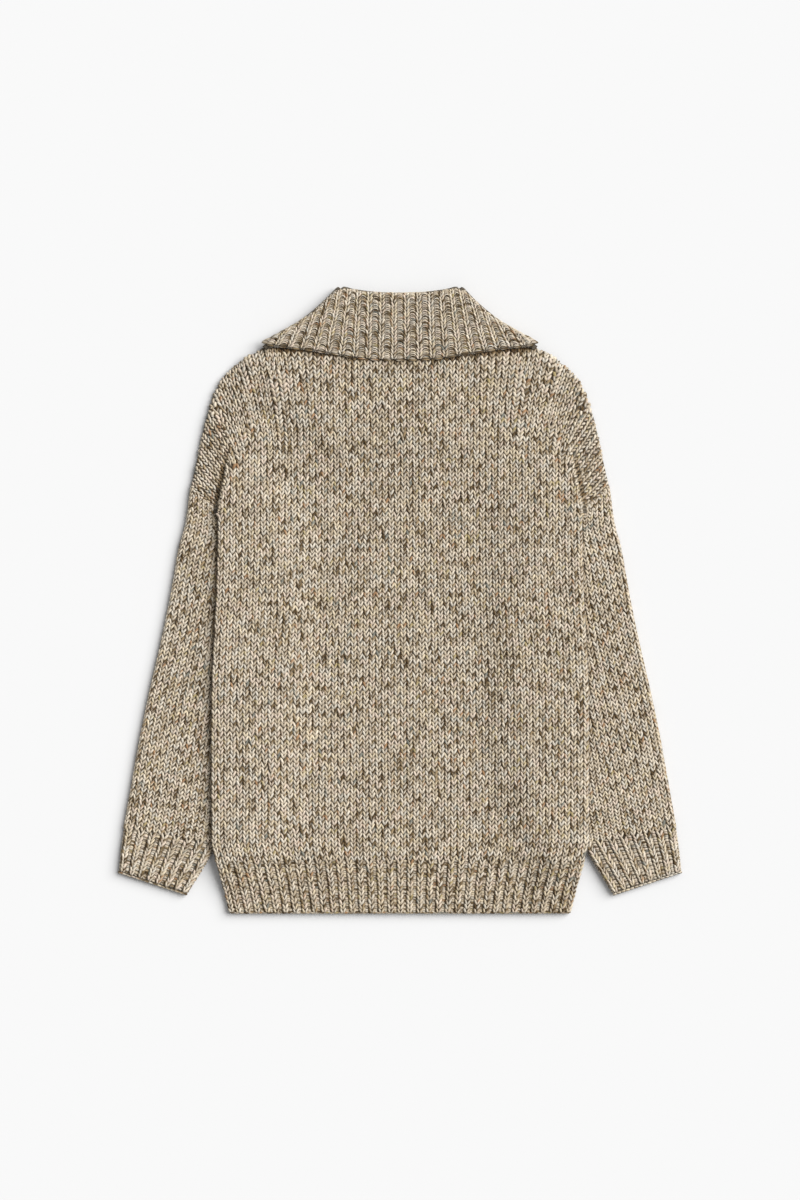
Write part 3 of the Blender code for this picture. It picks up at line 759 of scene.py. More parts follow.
# a stitch becomes two side by side where its column has spread too far
def splitWide(surface, u, v, pitch, limit):
    wide = columnSpread(surface, u, v) > limit
    splitU = np.concatenate([u[~wide], u[wide] - pitch / 4, u[wide] + pitch / 4])
    splitV = np.concatenate([v[~wide], v[wide], v[wide]])
    return splitU, splitV, np.repeat([pitch, pitch / 2], [np.sum(~wide), 2 * np.sum(wide)])


# several sets of u, v and depth, one after the other
def joinStrands(*parts):
    return [np.vstack(columns) for columns in zip(*parts)]


# centres of stitches: every course of every column, a little out of line
def stitchCentres(columns, courses, pitch):
    scatter = strand["scatter"]
    v, u = np.meshgrid(courses, columns, indexing="ij")
    u = u.ravel() + draw.normal(0, scatter * pitch / knit["walePitch"], u.size)
    return u, v.ravel() + draw.normal(0, scatter, v.size)


# 1x1 rib: V legs in the knit columns, and two arcs in each course of the purl ones; up is -1 where v falls
def ribStrands(knits, purls, courses, pitch, piece, up):
    height = knit["coursePitch"]
    ku, kv = stitchCentres(knits, courses, pitch / 2)
    pu, pv = stitchCentres(purls, courses, pitch / 2)
    pu, pv = np.tile(pu, 2), np.concatenate([pv, pv + up * height / 2])
    legs = vLegs(ku, up * kv, piece["knitShare"] * pitch, height, ribStitch)
    return legs, purlArcs(pu, up * pv, piece["purlShare"] * pitch, height, 0.25, -0.5)


# the middle of each strand on the surface
def strandMiddles(surface, rows):
    return readSurface(surface, rows[0][:, 2], rows[1][:, 2])


panel = {
    "backColumns": 191,
    "frontColumns": 71,
    "yarnColumns": 241,         # of the finer grid that the yarn lies on, with rows this far apart:
    "rowStep": 2.67,
    "pastEnd": 24.0,
    "flapLean": (31.0, 49.0),   # degrees of the sleeve cap's columns at the top and bottom of its fold
    "flapPitch": 7.0,           # their width there
    "splitAt": 1.4,             # a column this many times too wide becomes two
    "thicker": (0.95, 1.35),    # least and most of the yarn's radius where columns spread
    "leanShare": (6.0, 24.0),   # between these leans the legs of a stitch close up
    "creaseDeep": 2.6,          # the crease between the body and the sleeve cap
    "creaseOut": 1.2,           # how far it lies outside the fold
    "creaseWide": 3.4,
    "creaseTopY": 150.0,
    "creaseShade": (0.7, 0.5),  # painted shade: how much darker the yarn is in it, on the left and on the right
    "edgeInset": 1.5,           # the cloth stops this far inside the yarn at the outline
    "underCollar": (145.0, 14.0),   # no yarn nearer the middle than this and this far above the collar's edge
    "collarGap": (2.2, 3.5),    # reach of the painted shade in the gap below the collar's edge, and of its fading
    "collarTips": (50.0, 140.0, 1.5, 2.0),  # towards its tips, between these x, both reach this much farther
    "collarShade": (0.6, 0.22),     # how much darker the painted shade makes the gap, and how much more at the tips
}


# columns read at even lengths along the cloth; past its end a column runs straight on
def panelGrid(wales, neck):
    x, y = columnPath(wales, neck, 60, 50)
    length = pathLength(np.dstack([x, y]))
    ends = length[-1]
    rows = np.arange(0, ends.max() + panel["pastEnd"], panel["rowStep"])
    grid = np.empty((2, len(rows), len(wales)))
    for c in range(len(wales)):
        run = unit(np.array([x[-1, c] - x[-4, c], y[-1, c] - y[-4, c]]))
        past = np.clip(rows - ends[c], 0, None)
        for part, at, step in zip(grid, (x, y), run):
            part[:, c] = np.interp(rows, length[:, c], at[:, c]) + step * past
    return rows, ends, *grid


# top of the back's wall: lift + one wall and its gaps + the wall times the edge profile
def backTop(x, y, profile):
    return bodyLift(x, y) + knit["wall"] + 2 * knit["gap"] + knit["wall"] * profile


# a groove outside the side fold, half a cosine wave across, that runs out at the top of the fold
def creaseDrop(x, y):
    across = np.clip((outsideFold(x, y) - panel["creaseOut"]) / panel["creaseWide"], -1, 1)
    along = smoothStep(body["foldTop"][1], panel["creaseTopY"], y) * (y > body["seamLow"][1])
    return panel["creaseDeep"] * (0.5 + 0.5 * np.cos(np.pi * across)) * along


# the surface that the back's yarn lies on
def backSurface(x, y, profile, u, v):
    return makeSurface(np.dstack([x, y, backTop(x, y, profile) - creaseDrop(x, y)]), u, v)


# points near the outline move straight towards the middle of the garment
def insetPlan(x, y, profile):
    share = 1 - panel["edgeInset"] * (1 - profile) / np.maximum(np.hypot(x, y), 1.0)
    return x * share, y * share


# top and underside of the back: its top less the drop under the yarn, and a gap above the front
def upperWall(x, y):
    profile = edgeProfile(x, y)
    top = backTop(x, y, profile) - knit["groundDrop"] * profile - creaseDrop(x, y)
    low = backTop(x, y, 0) - knit["gap"] * (1 - profile)
    x, y = insetPlan(x, y, profile)
    return np.dstack([x, y, top]), np.dstack([x, y, low])


# top and underside of a front: one wall over the lift, which rounds up at the outline
def lowerWall(x, y):
    base = bodyLift(x, y)
    low = base + (knit["wall"] - knit["gap"]) * (1 - edgeProfile(x, y))
    return np.dstack([x, y, base + knit["wall"]]), np.dstack([x, y, low])


# wale and course numbers of a panel's points
def panelPlaces(wales, x, y):
    across = np.broadcast_to(wales[None] / knit["walePitch"], x.shape)
    return np.dstack([across, pathLength(np.dstack([x, y])) / knit["coursePitch"]])


# the back's columns from side to side, as a wall
def makeBack():
    wales = np.linspace(-body["sideX"], body["sideX"], panel["backColumns"])
    x, y = columnPath(wales, backNeck, 60, 60)
    wall = clothWall("back_cloth", *upperWall(x, y), panelPlaces(wales, x, y), coveredCloth, "knit")
    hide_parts("back")
    return wall


# a front's columns from its band to the side, -1 on the left and 1 on the right
def makeFront(side, name):
    wales = np.linspace(body["frontEdgeX"], body["sideX"], panel["frontColumns"])
    x, y = columnPath(wales, frontNeck, 70, 45)
    places = panelPlaces(wales, x, y)
    wall = clothWall(name + "_cloth", *lowerWall(x * side, y), places, [knitMaterial], "knit")
    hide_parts(name)
    return wall


# y of the collar's edge over a place, where that edge lies
def collarEdge(place):
    return np.interp(np.abs(place[:, 0]), collarRibTable[:, 1], collarRibTable[:, 2])


# painted shade: darker in the narrow gap below the collar's edge, most at its tips
def collarShade(place):
    start, end, further, softer = panel["collarTips"]
    reach, fade = panel["collarGap"]
    tips = smoothStep(start, end, np.abs(place[:, 0]))
    below = collarEdge(place) - reach - further * tips - place[:, 1]
    shade = panel["collarShade"][0] + panel["collarShade"][1] * tips
    return 1 - shade * (1 - smoothStep(0.0, fade + softer * tips, below))


# well inside the collar's edge, where nothing is seen
def underCollar(place):
    halfWidth, inside = panel["underCollar"]
    return (place[:, 1] > collarEdge(place) + inside) & (np.abs(place[:, 0]) < halfWidth)


# stitches stand on every column up to its end, and beside the sleeves up to the side fold
def layBackStitches():
    wales = np.linspace(-body["sideX"], body["sideX"], panel["yarnColumns"])
    rows, ends, x, y = panelGrid(wales, backNeck)
    profile = np.where(rows[:, None] > ends[None, :] + 0.5, 0.0, edgeProfile(x, y))
    surface = backSurface(x, y, profile, wales, rows)
    count = int(round(2 * body["sideX"] / knit["walePitch"]))
    pitch = 2 * body["sideX"] / count
    centres = -body["sideX"] + pitch * (np.arange(count) + 0.5)
    courses = (np.arange(int(rows[-1] / knit["coursePitch"])) + 0.2) * knit["coursePitch"]
    u, v = stitchCentres(centres, courses, pitch)
    u, v, width = splitWide(surface, u, v, pitch, panel["splitAt"])
    run = readSurface(surface, u, v + 3.0) - readSurface(surface, u, v)
    lean = np.degrees(np.arctan2(np.abs(run[:, 0]), run[:, 1]))
    look = mixLooks(vStitch, capStitch, smoothStep(*panel["leanShare"], lean))
    spread = np.repeat(columnSpread(surface, u, v) * width / pitch, 2)
    legs, started = trimStrands(vLegs(u, v, width, knit["coursePitch"], look), wales, ends)
    radius = knit["yarnRadius"] * np.clip(spread[started], *panel["thicker"])
    tip = readSurface(surface, legs[0][:, -1], legs[1][:, -1])
    keep = (outsideFold(tip[:, 0], tip[:, 1]) < -0.5) | (np.abs(legs[0][:, 0]) < body["foldTop"][0] - 3.0)
    middle = strandMiddles(surface, legs)
    keep &= ~underCollar(middle)
    # painted shade below the collar's edge
    tone = collarShade(middle)
    made = []
    for name, some in zip(("low", "middle", "high"), np.array_split(np.flatnonzero(keep), 3)):
        rows = [part[some] for part in legs]
        made.append(strandMesh("back_yarn_" + name, surface, rows, radius[some], tone[some]))
    return made


# columns of the sleeve cap start on the side fold and run out to the outline, leaning more as they go down
def layFlapStitches(side, name):
    low, top = np.array(body["seamLow"]), np.array(body["foldTop"])
    run = low - top
    total = np.hypot(*run)
    s = np.linspace(-4.0, total - 2.0, 120)
    lean = np.radians(np.interp(s, (0, total), panel["flapLean"]))
    foldLean = np.arctan2(-run[0], -run[1])
    u = np.concatenate([[0], np.cumsum(np.diff(s) * np.sin(lean - foldLean)[1:])])
    even = np.arange(0, u[-1], 1.2)
    lean, s = np.interp(even, u, lean), np.interp(even, u, s)
    start = top + run / total * s[:, None]
    start[:, 0] += 1.0 + (panel["creaseOut"] - 0.5) * smoothStep(0.0, 35.0, s)
    direction = np.stack([np.sin(lean), np.cos(lean)], -1)
    v = np.arange(-6.0, 90.0, 1.5)
    x, y = np.moveaxis(start[None] + direction[None] * v[:, None, None], -1, 0)
    order = np.argsort(shoulderTable[:, 2])
    inside = x < np.interp(y, shoulderTable[order, 2], shoulderTable[order, 1])
    ends = v[np.maximum(inside.cumsum(axis=0).max(axis=0) - 1, 0)]
    surface = backSurface(x * side, y, np.where(inside, edgeProfile(x, y), 0.0), even, v)
    count = int(round(even[-1] / panel["flapPitch"]))
    pitch = even[-1] / count
    centres = pitch * (np.arange(count + 1) + 0.5)
    u, v = stitchCentres(centres, np.arange(-1, 16) * knit["coursePitch"], pitch)
    legs, started = trimStrands(vLegs(u, v, pitch, knit["coursePitch"], capStitch), even, ends)
    middle = strandMiddles(surface, legs)
    # painted shade in the crease between the body and the sleeve cap, deeper on the left
    inCrease = creaseDrop(middle[:, 0], middle[:, 1]) / panel["creaseDeep"]
    return strandMesh(name, surface, legs, tone=1 - panel["creaseShade"][side > 0] * inCrease)


back = makeBack()
backYarn = layBackStitches()
fronts = [makeFront(-1, "front_left"), makeFront(1, "front_right")]
flaps = [layFlapStitches(-1, "cap_yarn_left"), layFlapStitches(1, "cap_yarn_right")]
print("stage 3: back and fronts made")


hem = {
    "ribs": 36,
    "courses": 12,
    "knitShare": 0.66,      # width of the knit and the purl columns, of one rib
    "purlShare": 0.42,
    "raise": 0.30,          # height of the ribs' wave in the cloth
    "tone": 0.95,
    "round": 3.0,           # radius of the bottom edge
    "lowRows": (4.0, 2.6, 1.7, 1.2),    # heights of the cloth's last rows above it
    "frontShort": 0.6,      # the fronts' ribs end this far above it
    "plainPitch": 6.15,     # half a rib of the pattern on the fronts
}


# even heights from the seam down to the bottom edge
def hemRows(count):
    return np.linspace(body["hemSeamY"] - knit["gap"], body["hemY"], count)[:, None]


# the hem's bottom edge turns in: share of the wall left at each height above it, a quarter ellipse
def hemRounding(y):
    f = np.clip((y - body["hemY"] - hem["lowRows"][-1]) / hem["round"], 0, 1)
    return 0.25 + 0.75 * np.sqrt(1 - (1 - f) ** 2)


# the back's wall with a cosine wave for each rib, rounded at the bottom edge
def makeBackHem():
    spread = np.linspace(-1, 1, 8 * hem["ribs"] + 1)[None, :]
    y = np.vstack([hemRows(22)[:-2], body["hemY"] + np.array(hem["lowRows"])[:, None]])
    x = spread * sideX(y)
    y = y + 0 * x
    upper, lower = upperWall(x, y)
    ribbed = hem["raise"] * np.cos(np.pi * spread * hem["ribs"]) * edgeProfile(x, y)
    middle = lower[..., 2]
    upper[..., 2] = middle + (upper[..., 2] + ribbed - middle) * hemRounding(y)
    places = np.dstack([spread * hem["ribs"] + 0 * y, (y - body["hemY"]) / knit["coursePitch"]])
    wall = clothWall("back_hem_cloth", upper, lower, places, coveredCloth, "rib")
    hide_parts("back_hem_rib")
    return wall


# knit columns at even spread with purl arcs between, over a surface that turns in at the bottom edge
def layHemStitches():
    u = np.linspace(-1, 1, 8 * hem["ribs"] + 1) * hem["ribs"] / 2
    v = np.arange(-4.0, -body["hemY"] + body["hemSeamY"] + 8.0, 1.0)
    turn = np.clip((hem["round"] - v) / hem["round"], 0, 2.0)
    height = np.where(turn > 0, hem["round"] * (1 - np.sin(turn)), v)
    fall = np.where(turn > 0, hem["round"] * (1 - np.cos(turn)), 0.0)
    y = (body["hemY"] + height)[:, None] + 0 * u
    x = u[None] / (hem["ribs"] / 2) * sideX(y)
    profile = edgeProfile(x, y)
    z = backTop(x, y, profile) + hem["raise"] * np.cos(2 * np.pi * u) * profile - fall[:, None]
    surface = makeSurface(np.dstack([x, y, z]), u, v)
    half = hem["ribs"] // 2
    courses = (np.arange(hem["courses"]) + 0.3) * knit["coursePitch"]
    knits = np.clip(np.arange(-half, half + 1), -half + 0.25, half - 0.25)
    rib = ribStrands(knits, np.arange(-half, half) + 0.5, courses, 1.0, hem, 1)
    chain = edgeChain(np.arange(-half, half, 0.5) + 0.25, 0.0, 0.5, -0.3)
    return strandMesh("hem_yarn", surface, joinStrands(*rib, chain), tone=hem["tone"])


# a front's wall from its band to the side, rounded at the bottom edge
def makeFrontHem(side, name):
    spread = np.linspace(0, 1, 73)[None, :]
    y = hemRows(20) + np.linspace(0, hem["frontShort"], 20)[:, None]
    x = body["frontEdgeX"] + spread * (sideX(y) - body["frontEdgeX"])
    y = y + 0 * x
    upper, lower = lowerWall(x * side, y)
    lower[..., 2] = upper[..., 2] + (lower[..., 2] - upper[..., 2]) * (0.3 + 0.7 * hemRounding(y))
    places = np.dstack([x / hem["plainPitch"], (y - body["hemY"]) / knit["coursePitch"]])
    wall = clothWall(name + "_cloth", upper, lower, places, [knitMaterial], "rib")
    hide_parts(name)
    return wall


backHem = makeBackHem()
hemYarn = layHemStitches()
frontHems = [makeFrontHem(-1, "front_left_hem_rib"), makeFrontHem(1, "front_right_hem_rib")]
print("stage 4: hem ribs made")


sleeve = {
    "steps": 24,                # points across the upper side
    "slit": 0.3,                # half the gap inside the flattened tube
    "roll": layer / 2,
    "firstWale": 1.2,
    "hidden": 10.0,             # yarn starts this far under the body's side
    "shadow": (0.42, 0.25),     # painted shadow: how much darker the yarn is beside the body, on the left and on the right
    "shadowY": (-100.0, -40.0),     # and it is lighter below this
    "shadowWide": 5.0,
}
cuff = {
    "steps": 33,
    "nominal": 100.0,       # width in which the ribs are laid out, whatever the cuff's own
    "ribs": 8,
    "courses": 12,
    "knitShare": 0.60,
    "purlShare": 0.40,
    "raise": 0.28,
}


# outer and inner edge at even steps along the outer one, running straight on before and past its ends
def evenRows(table, step, before, past):
    outer, inner = readEdges(table, np.linspace(table[0, 0], table[-1, 0], 400))
    length = pathLength(outer)
    rows = np.arange(-before, length[-1] + past, step)
    even = [np.column_stack([np.interp(rows, length, edge[:, c]) for c in (0, 1)]) for edge in (outer, inner)]
    extra = np.clip(rows, None, 0)[:, None] * unit(outer[4] - outer[0])
    extra = extra + np.clip(rows - length[-1], 0, None)[:, None] * unit(outer[-1] - outer[-5])
    return rows, length[-1], even[0] + extra, even[1] + extra


# across a flat tube: flat in the middle, half circles of the roll's radius at both edges
def tubeSurface(rows, outer, inner, side, u, nominal=None):
    width = np.hypot(*(inner - outer).T)[:, None]
    roll = sleeve["roll"]
    across = u[None] * (width / nominal if nominal else 1.0)
    turnOuter = np.clip((roll - across) / roll, 0, 2.1)
    turnInner = np.clip((across - width + roll) / roll, 0, 2.1)
    place = np.where(turnOuter > 0, roll - roll * np.sin(turnOuter), across)
    place = np.where(turnInner > 0, width - roll + roll * np.sin(turnInner), place)
    z = roll + roll * np.cos(np.maximum(turnOuter, turnInner))
    plan = outer[:, None] + ((inner - outer) / width)[:, None] * place[..., None]
    return np.dstack([plan[..., 0] * side, plan[..., 1], z])


# rings of a flat tube: upper side out to in, half circle, lower side, half circle
def tubeRings(outer, inner, half, drop, steps, side):
    turn = np.radians(np.array([60.0, 20.0, -20.0, -60.0]))
    f = np.linspace(0, 1, steps)
    spread = np.concatenate([f, np.ones(4), f[::-1], np.zeros(4)])
    reach = np.concatenate([0 * f, np.cos(turn), 0 * f, -np.cos(turn[::-1])]) * (half - 0.7 * drop)
    height = np.concatenate([0 * f + half - drop, np.sin(turn) * half, 0 * f - half, -np.sin(turn) * half])
    height[[steps, -1]] -= drop * 0.6       # the first points of the half circles, beside the upper side
    across = unit(inner - outer)
    roll = sleeve["roll"]
    start, end = outer + across * roll, inner - across * roll
    plan = start[:, None] + (end - start)[:, None] * spread[None, :, None]
    plan = plan + across[:, None] * reach[None, :, None]
    z = roll + height[None] + np.zeros((len(outer), 1))
    return np.dstack([plan[..., 0] * side, plan[..., 1], z])


# a tube of cloth from its table; with ribs, its pattern has two columns for each of them
def makeTube(node, table, side, steps, ribs):
    t = np.linspace(table[0, 0], table[-1, 0] - (0.05 if ribs else 0.0), 14 * (len(table) - 1) + 1)
    outer, inner = readEdges(table, t)
    outside = tubeRings(outer, inner, sleeve["roll"], knit["groundDrop"], steps, side)
    inside = tubeRings(outer, inner, sleeve["slit"], 0.0, steps, side)
    around, along = pathLength(outside[0]), pathLength(outer)
    if ribs:
        around = around / around[steps - 1] * ribs * 2 * knit["walePitch"]
    places = np.dstack(np.broadcast_arrays(
        around[None] / knit["walePitch"], along[:, None] / -knit["coursePitch"]))
    tube = clothTube(node + "_cloth", outside, inside, places, steps - 1)
    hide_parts(node)
    return tube


# columns run along the sleeve's outer edge; those well under the body's side are left out
def laySleeveStitches(side, name):
    rows, length, outer, inner = evenRows(sleeveTable, 2.0, 8.0, 8.0)
    u = np.arange(-9.0, 130.0, 1.2)
    surface = makeSurface(tubeSurface(rows, outer, inner, side, u), u, -rows)
    width = np.hypot(*(inner - outer).T)
    pitch = knit["walePitch"]
    centres = sleeve["firstWale"] + pitch * np.arange(-1, 16)
    cu, cv = stitchCentres(centres, np.arange(-1.5, length + 2.0, knit["coursePitch"]), pitch)
    place = readSurface(surface, cu, -cv)
    seen = np.abs(place[:, 0]) > np.where(place[:, 1] > -330, sideX(place[:, 1]) - sleeve["hidden"], 0)
    keep = seen & (cu < np.interp(cv, rows, width) + 5.0)
    legs = vLegs(cu[keep], -cv[keep], pitch, knit["coursePitch"], vStitch)
    x, y = strandMiddles(surface, legs).T[:2]
    # painted shadow of the body's side on the sleeve yarn
    shadow = sleeve["shadow"][side > 0] * (0.45 + 0.55 * smoothStep(*sleeve["shadowY"], y))
    tone = 1 - shadow * (1 - smoothStep(0.0, sleeve["shadowWide"], np.abs(x) - sideX(y)))
    return strandMesh(name, surface, legs, tone=np.where(y > body["hemSeamY"], tone, 1.0))


# ribs at even spread across the cuff, over a surface that turns down at its lower edge
def layCuffStitches(side, name):
    rows, length, outer, inner = evenRows(cuffTable, 1.5, 6.0, 6.0)
    u = np.arange(-10.0, 110.0, 0.8)
    grid = tubeSurface(rows, outer, inner, side, u, cuff["nominal"])
    pitch = cuff["nominal"] / cuff["ribs"]
    grid[..., 2] -= cuff["raise"] * np.cos(2 * np.pi * u / pitch)[None]
    past = np.clip(rows - length + 2.5, 0, None)[:, None]
    grid[..., 2] -= np.minimum(0.25 * past ** 2, 4.0)
    surface = makeSurface(grid, u, -rows)
    courses = (np.arange(cuff["courses"]) + 0.4) * length / cuff["courses"]
    knits, purls = pitch * (np.arange(cuff["ribs"]) + 0.5), pitch * np.arange(cuff["ribs"] + 1)
    rib = ribStrands(knits, purls, courses, pitch, cuff, -1)
    chain = edgeChain(np.arange(-0.5, cuff["ribs"], 0.5) * pitch + pitch / 4, -length - 0.3, pitch / 2, -0.3)
    return strandMesh(name, surface, joinStrands(*rib, chain))


sleeves, sleeveYarn, cuffs, cuffYarn = [], [], [], []
for side, word in ((-1, "left"), (1, "right")):
    sleeves.append(makeTube(f"sleeve_{word}", sleeveTable, side, sleeve["steps"], 0))
    sleeveYarn.append(laySleeveStitches(side, f"sleeve_yarn_{word}"))
    cuffs.append(makeTube(f"cuff_{word}", cuffTable, side, cuff["steps"], cuff["ribs"]))
    cuffYarn.append(layCuffStitches(side, f"cuff_yarn_{word}"))
print("stage 5: sleeves and cuffs made")


collar = {
    "creaseOut": (0.62, 0.785),     # direction of the side crease
    "creaseSag": 4.5,               # the fall's middle lies this far inside a straight line there
    "standIn": 4.2,                 # the stand lies this far inside the neck opening
    "coursePitch": 4.3,
    "edgeRoll": 2.6,
    "bulge": 0.8,
    "purlShare": 0.66,
    "knitShare": 0.40,
    # radius and tone of the knit legs, the purl arcs, those between them, and the edges
    "radii": (1.25, 0.86, 0.80, 1.15),
    "tones": (1.0, 1.06, 1.0, 1.03),
    # across and up the whole piece before it is gathered into the neck, and its area, in metres
    "flat": (0.62, 0.168),
    "area": 0.085,
}

# the ring of one section: how far from the neck seam (0) to the fold (1) to the outer edge (2),
# its height from the middle of the stack, and its reach past the fold
collarRing = np.array(
    [(0.0, 0.3, 0.0), (0.5, 0.3, 0.0), (1.0, 0.3, 0.0)]
    + [(1.0, 1.52, 2.93), (1.0, 4.45, 4.15), (1.0, 7.38, 2.93)]
    + [(1.0 + f, 8.6, 0.0) for f in (0.0, 0.2, 0.45, 0.7, 0.93)]
    + [(1.99, 7.8, 0.0), (2.0, 6.4, 0.0), (1.99, 4.9, 0.0)]
    + [(1.0 + f, 4.6, 0.0) for f in (0.93, 0.7, 0.45, 0.2, 0.0)]
    + [(1.0, 4.3, 0.0), (0.5, 4.3, 0.0), (0.0, 4.3, 0.0)]
)


# rings of the folded collar; wrap is 90 degrees on the back, 0 on the side crease and -90 on the front
def collarRings(t, wrap):
    stand = body["neckHalf"] - collar["standIn"]
    turn = np.radians(90.0 * np.clip(t - 1, 0, 1))
    neckX = np.where(t <= 1, stand * t, np.maximum(stand * np.cos(turn), 2.5))
    deep = body["shoulderY"] - body["frontNeckY"]
    neckY = np.where(t <= 1, backNeck(body["neckHalf"] * t), body["shoulderY"] - deep * np.sin(turn))
    neck = np.column_stack([neckX, neckY + knit["gap"]])
    fold, edge = readEdges(collarTable, t)
    along, high, past = collarRing.T
    plan = neck[:, None] + (fold - neck)[:, None] * np.clip(along, 0, 1)[None, :, None]
    plan = plan + (edge - fold)[:, None] * np.clip(along - 1, 0, 1)[None, :, None]
    near = np.clip(1 - np.abs(t - 1) / 0.5, 0, None)
    sag = collar["creaseSag"] * near[:, None] * np.sin(np.pi * np.clip(along - 1, 0, 1) ** 0.8)[None]
    plan = plan - sag[..., None] * np.array(collar["creaseOut"])
    plan = plan + unit(fold - neck)[:, None] * past[None, :, None]
    share = smoothStep(0.6, 1.15, along)[:, None]
    outward = unit((1 - share) * np.array([1.0, 0.0]) + share * np.array(collar["creaseOut"]))
    angle = np.radians(wrap)[:, None]
    drop = knit["groundDrop"] * np.clip(np.sin(angle) + np.cos(angle), 0, 1) * (high > 7)
    height = high[None] - drop
    plan = plan + outward[None] * (np.cos(angle) * height)[..., None]
    return np.dstack([plan, 2 * body["collarLift"] + np.sin(angle) * height])


# right half's rings from the centre back to the centre front, and their mirror image before them
def makeCollar():
    backT, frontT = np.linspace(0, 1, 60), np.linspace(1, 2, 40)
    wraps = np.arange(75.0, -80.0, -15.0)
    t = np.concatenate([backT, np.ones(len(wraps)), frontT])
    wrap = np.concatenate([np.full(len(backT), 90.0), wraps, np.full(len(frontT), -90.0)])
    right = collarRings(t, wrap)
    rings = np.vstack([right[:0:-1] * np.array([-1, 1, 1]), right])
    rows, count = rings.shape[:2]
    index = np.arange(rows * count).reshape(rows, count)
    quads = gridQuads(index, True)
    caps = np.vstack([index[0][::-1], index[-1]])
    across = np.concatenate([-t[:0:-1], t]) * 22    # 22 columns of the pattern from t to t + 1
    around = pathLength(right[30])
    places = np.dstack(np.broadcast_arrays(across[:, None], around[None] / collar["coursePitch"]))
    places = places.reshape(-1, 2)
    upper = (np.arange(count) >= 3) & (np.arange(count) < 13)
    showsYarn = np.concatenate([wrap[:0:-1], wrap])[:-1] > 20
    kinds = np.where(showsYarn[:, None] & upper[None], 0, 1).ravel()
    piece = makeMesh(
        "collar_cloth", rings.reshape(-1, 3), [quads, caps], coveredCloth,
        np.concatenate([kinds, [1, 1]]), [("stitches", [places[quads], places[caps]])])
    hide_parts("collar")
    return piece


# rib lines from the outer edge up over the fold: flat, with a part of a circle at either end
def layCollarStitches():
    j = np.linspace(-10.7, 10.7, 215)
    read = readLines(collarRibTable, np.abs(j), 1, 2, 3, 4, 5)
    low, top, roll = np.stack(read[:2], -1), np.stack(read[2:4], -1), read[4]
    span, edgeRoll = np.hypot(*(top - low).T), collar["edgeRoll"]
    v = np.arange(-5.0, 112.0, 1.3)[:, None]
    lowTurn = np.clip((edgeRoll - v) / edgeRoll, 0, 2.1)
    topTurn = np.clip((v - span + roll) / roll, 0, 2.4)
    place = np.where(lowTurn > 0, edgeRoll * (1 - np.sin(lowTurn)), v)
    place = np.where(topTurn > 0, span - roll + roll * np.sin(topTurn), place)
    fall = edgeRoll * (1 - np.cos(lowTurn)) + roll * (1 - np.cos(topTurn))
    plan = low[None] + unit(top - low)[None] * place[..., None]
    bulge = collar["bulge"] * (0.3 + 0.7 * np.cos(2 * np.pi * j))
    z = 2 * body["collarLift"] + layer - fall + bulge[None]
    surface = makeSurface(np.dstack([plan[..., 0] * np.sign(j), plan[..., 1], z]), j, v[:, 0])
    height = collar["coursePitch"]
    courses = np.arange(int(112 / height)) * height
    ku, kv = stitchCentres(np.arange(-10, 10) + 0.5, courses + 0.6, 0.4)
    pu, pv = stitchCentres(np.clip(np.arange(-11, 12), -10.5, 10.5), courses - 0.4, 0.4)
    limit = span + 0.9 * roll
    keepKnit, keepPurl = kv < np.interp(ku, j, limit), pv < np.interp(pu, j, limit)
    pu, pv = pu[keepPurl], pv[keepPurl]
    legs = vLegs(ku[keepKnit], kv[keepKnit], collar["knitShare"], height, grooveStitch)
    arcs = purlArcs(pu, pv, collar["purlShare"], height, 0.75, 0.1)
    between = purlArcs(pu, pv + height / 2, collar["purlShare"], height, 0.75, -0.1)
    along = np.arange(-10.6, 10.7, 0.3)
    chain = edgeChain(along, np.interp(along, j, limit), 0.36, 0.3)
    scallop = edgeChain(np.arange(-10.0, 10.5), -1.5, 0.50, 1.1)
    counts = [len(legs[0]), len(arcs[0]), len(between[0]), len(along) + len(scallop[0])]
    return strandMesh(
        "collar_yarn", surface, joinStrands(legs, arcs, between, chain, scallop),
        np.repeat(collar["radii"], counts), np.repeat(collar["tones"], counts))


collarCloth = makeCollar()
collarYarn = layCollarStitches()
print("stage 6: collar made")


band = {
    "columnWidth": 4.6,
    "flat": (0.032, 0.6189),    # width and length in metres
}
button = {
    "topY": 148.0,
    "pitch": 120.0,
    "count": 5,
    "sides": 48,
    # radius and height of the lathe's outline, from the face on the floor round to the back
    "outline": np.array([
        (4.8, 0.55), (5.6, 0.45), (6.6, 0.12), (7.6, 0.0), (8.8, 0.03), (9.6, 0.3),
        (10.0, 0.85), (9.7, 1.35), (9.0, 1.65), (7.8, 1.7),
    ]),
    "faceHeights": (0.6, 1.7),      # of the middle of the face and of the back
    "threadRadius": 0.35,
    "threadReach": 2.4,             # the threads run from -x to x
    "threadY": (-2.9, -1.9),        # and from these y to the other side
}


# a copy of the band's solid with knit over it, its columns along the band
def makeBand(node):
    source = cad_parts[node]
    mesh = source.data.copy()
    mesh.name = node + "_cloth"
    mesh.transform(source.matrix_world)
    mesh.materials.clear()
    mesh.materials.append(knitMaterial)
    places = np.empty(3 * len(mesh.vertices), dtype=np.float32)
    mesh.vertices.foreach_get("co", places)
    corners = np.empty(len(mesh.loops), dtype=np.int32)
    mesh.loops.foreach_get("vertex_index", corners)
    pitch = np.array([band["columnWidth"], knit["coursePitch"]])
    places = places.reshape(-1, 3)[corners][:, :2] / mm / pitch
    for layerUv in list(mesh.uv_layers):
        mesh.uv_layers.remove(layerUv)
    mesh.uv_layers.new(name="stitches").data.foreach_set("uv", places.astype(np.float32).ravel())
    obj = addPiece(node + "_cloth", mesh)
    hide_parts(node)
    return obj


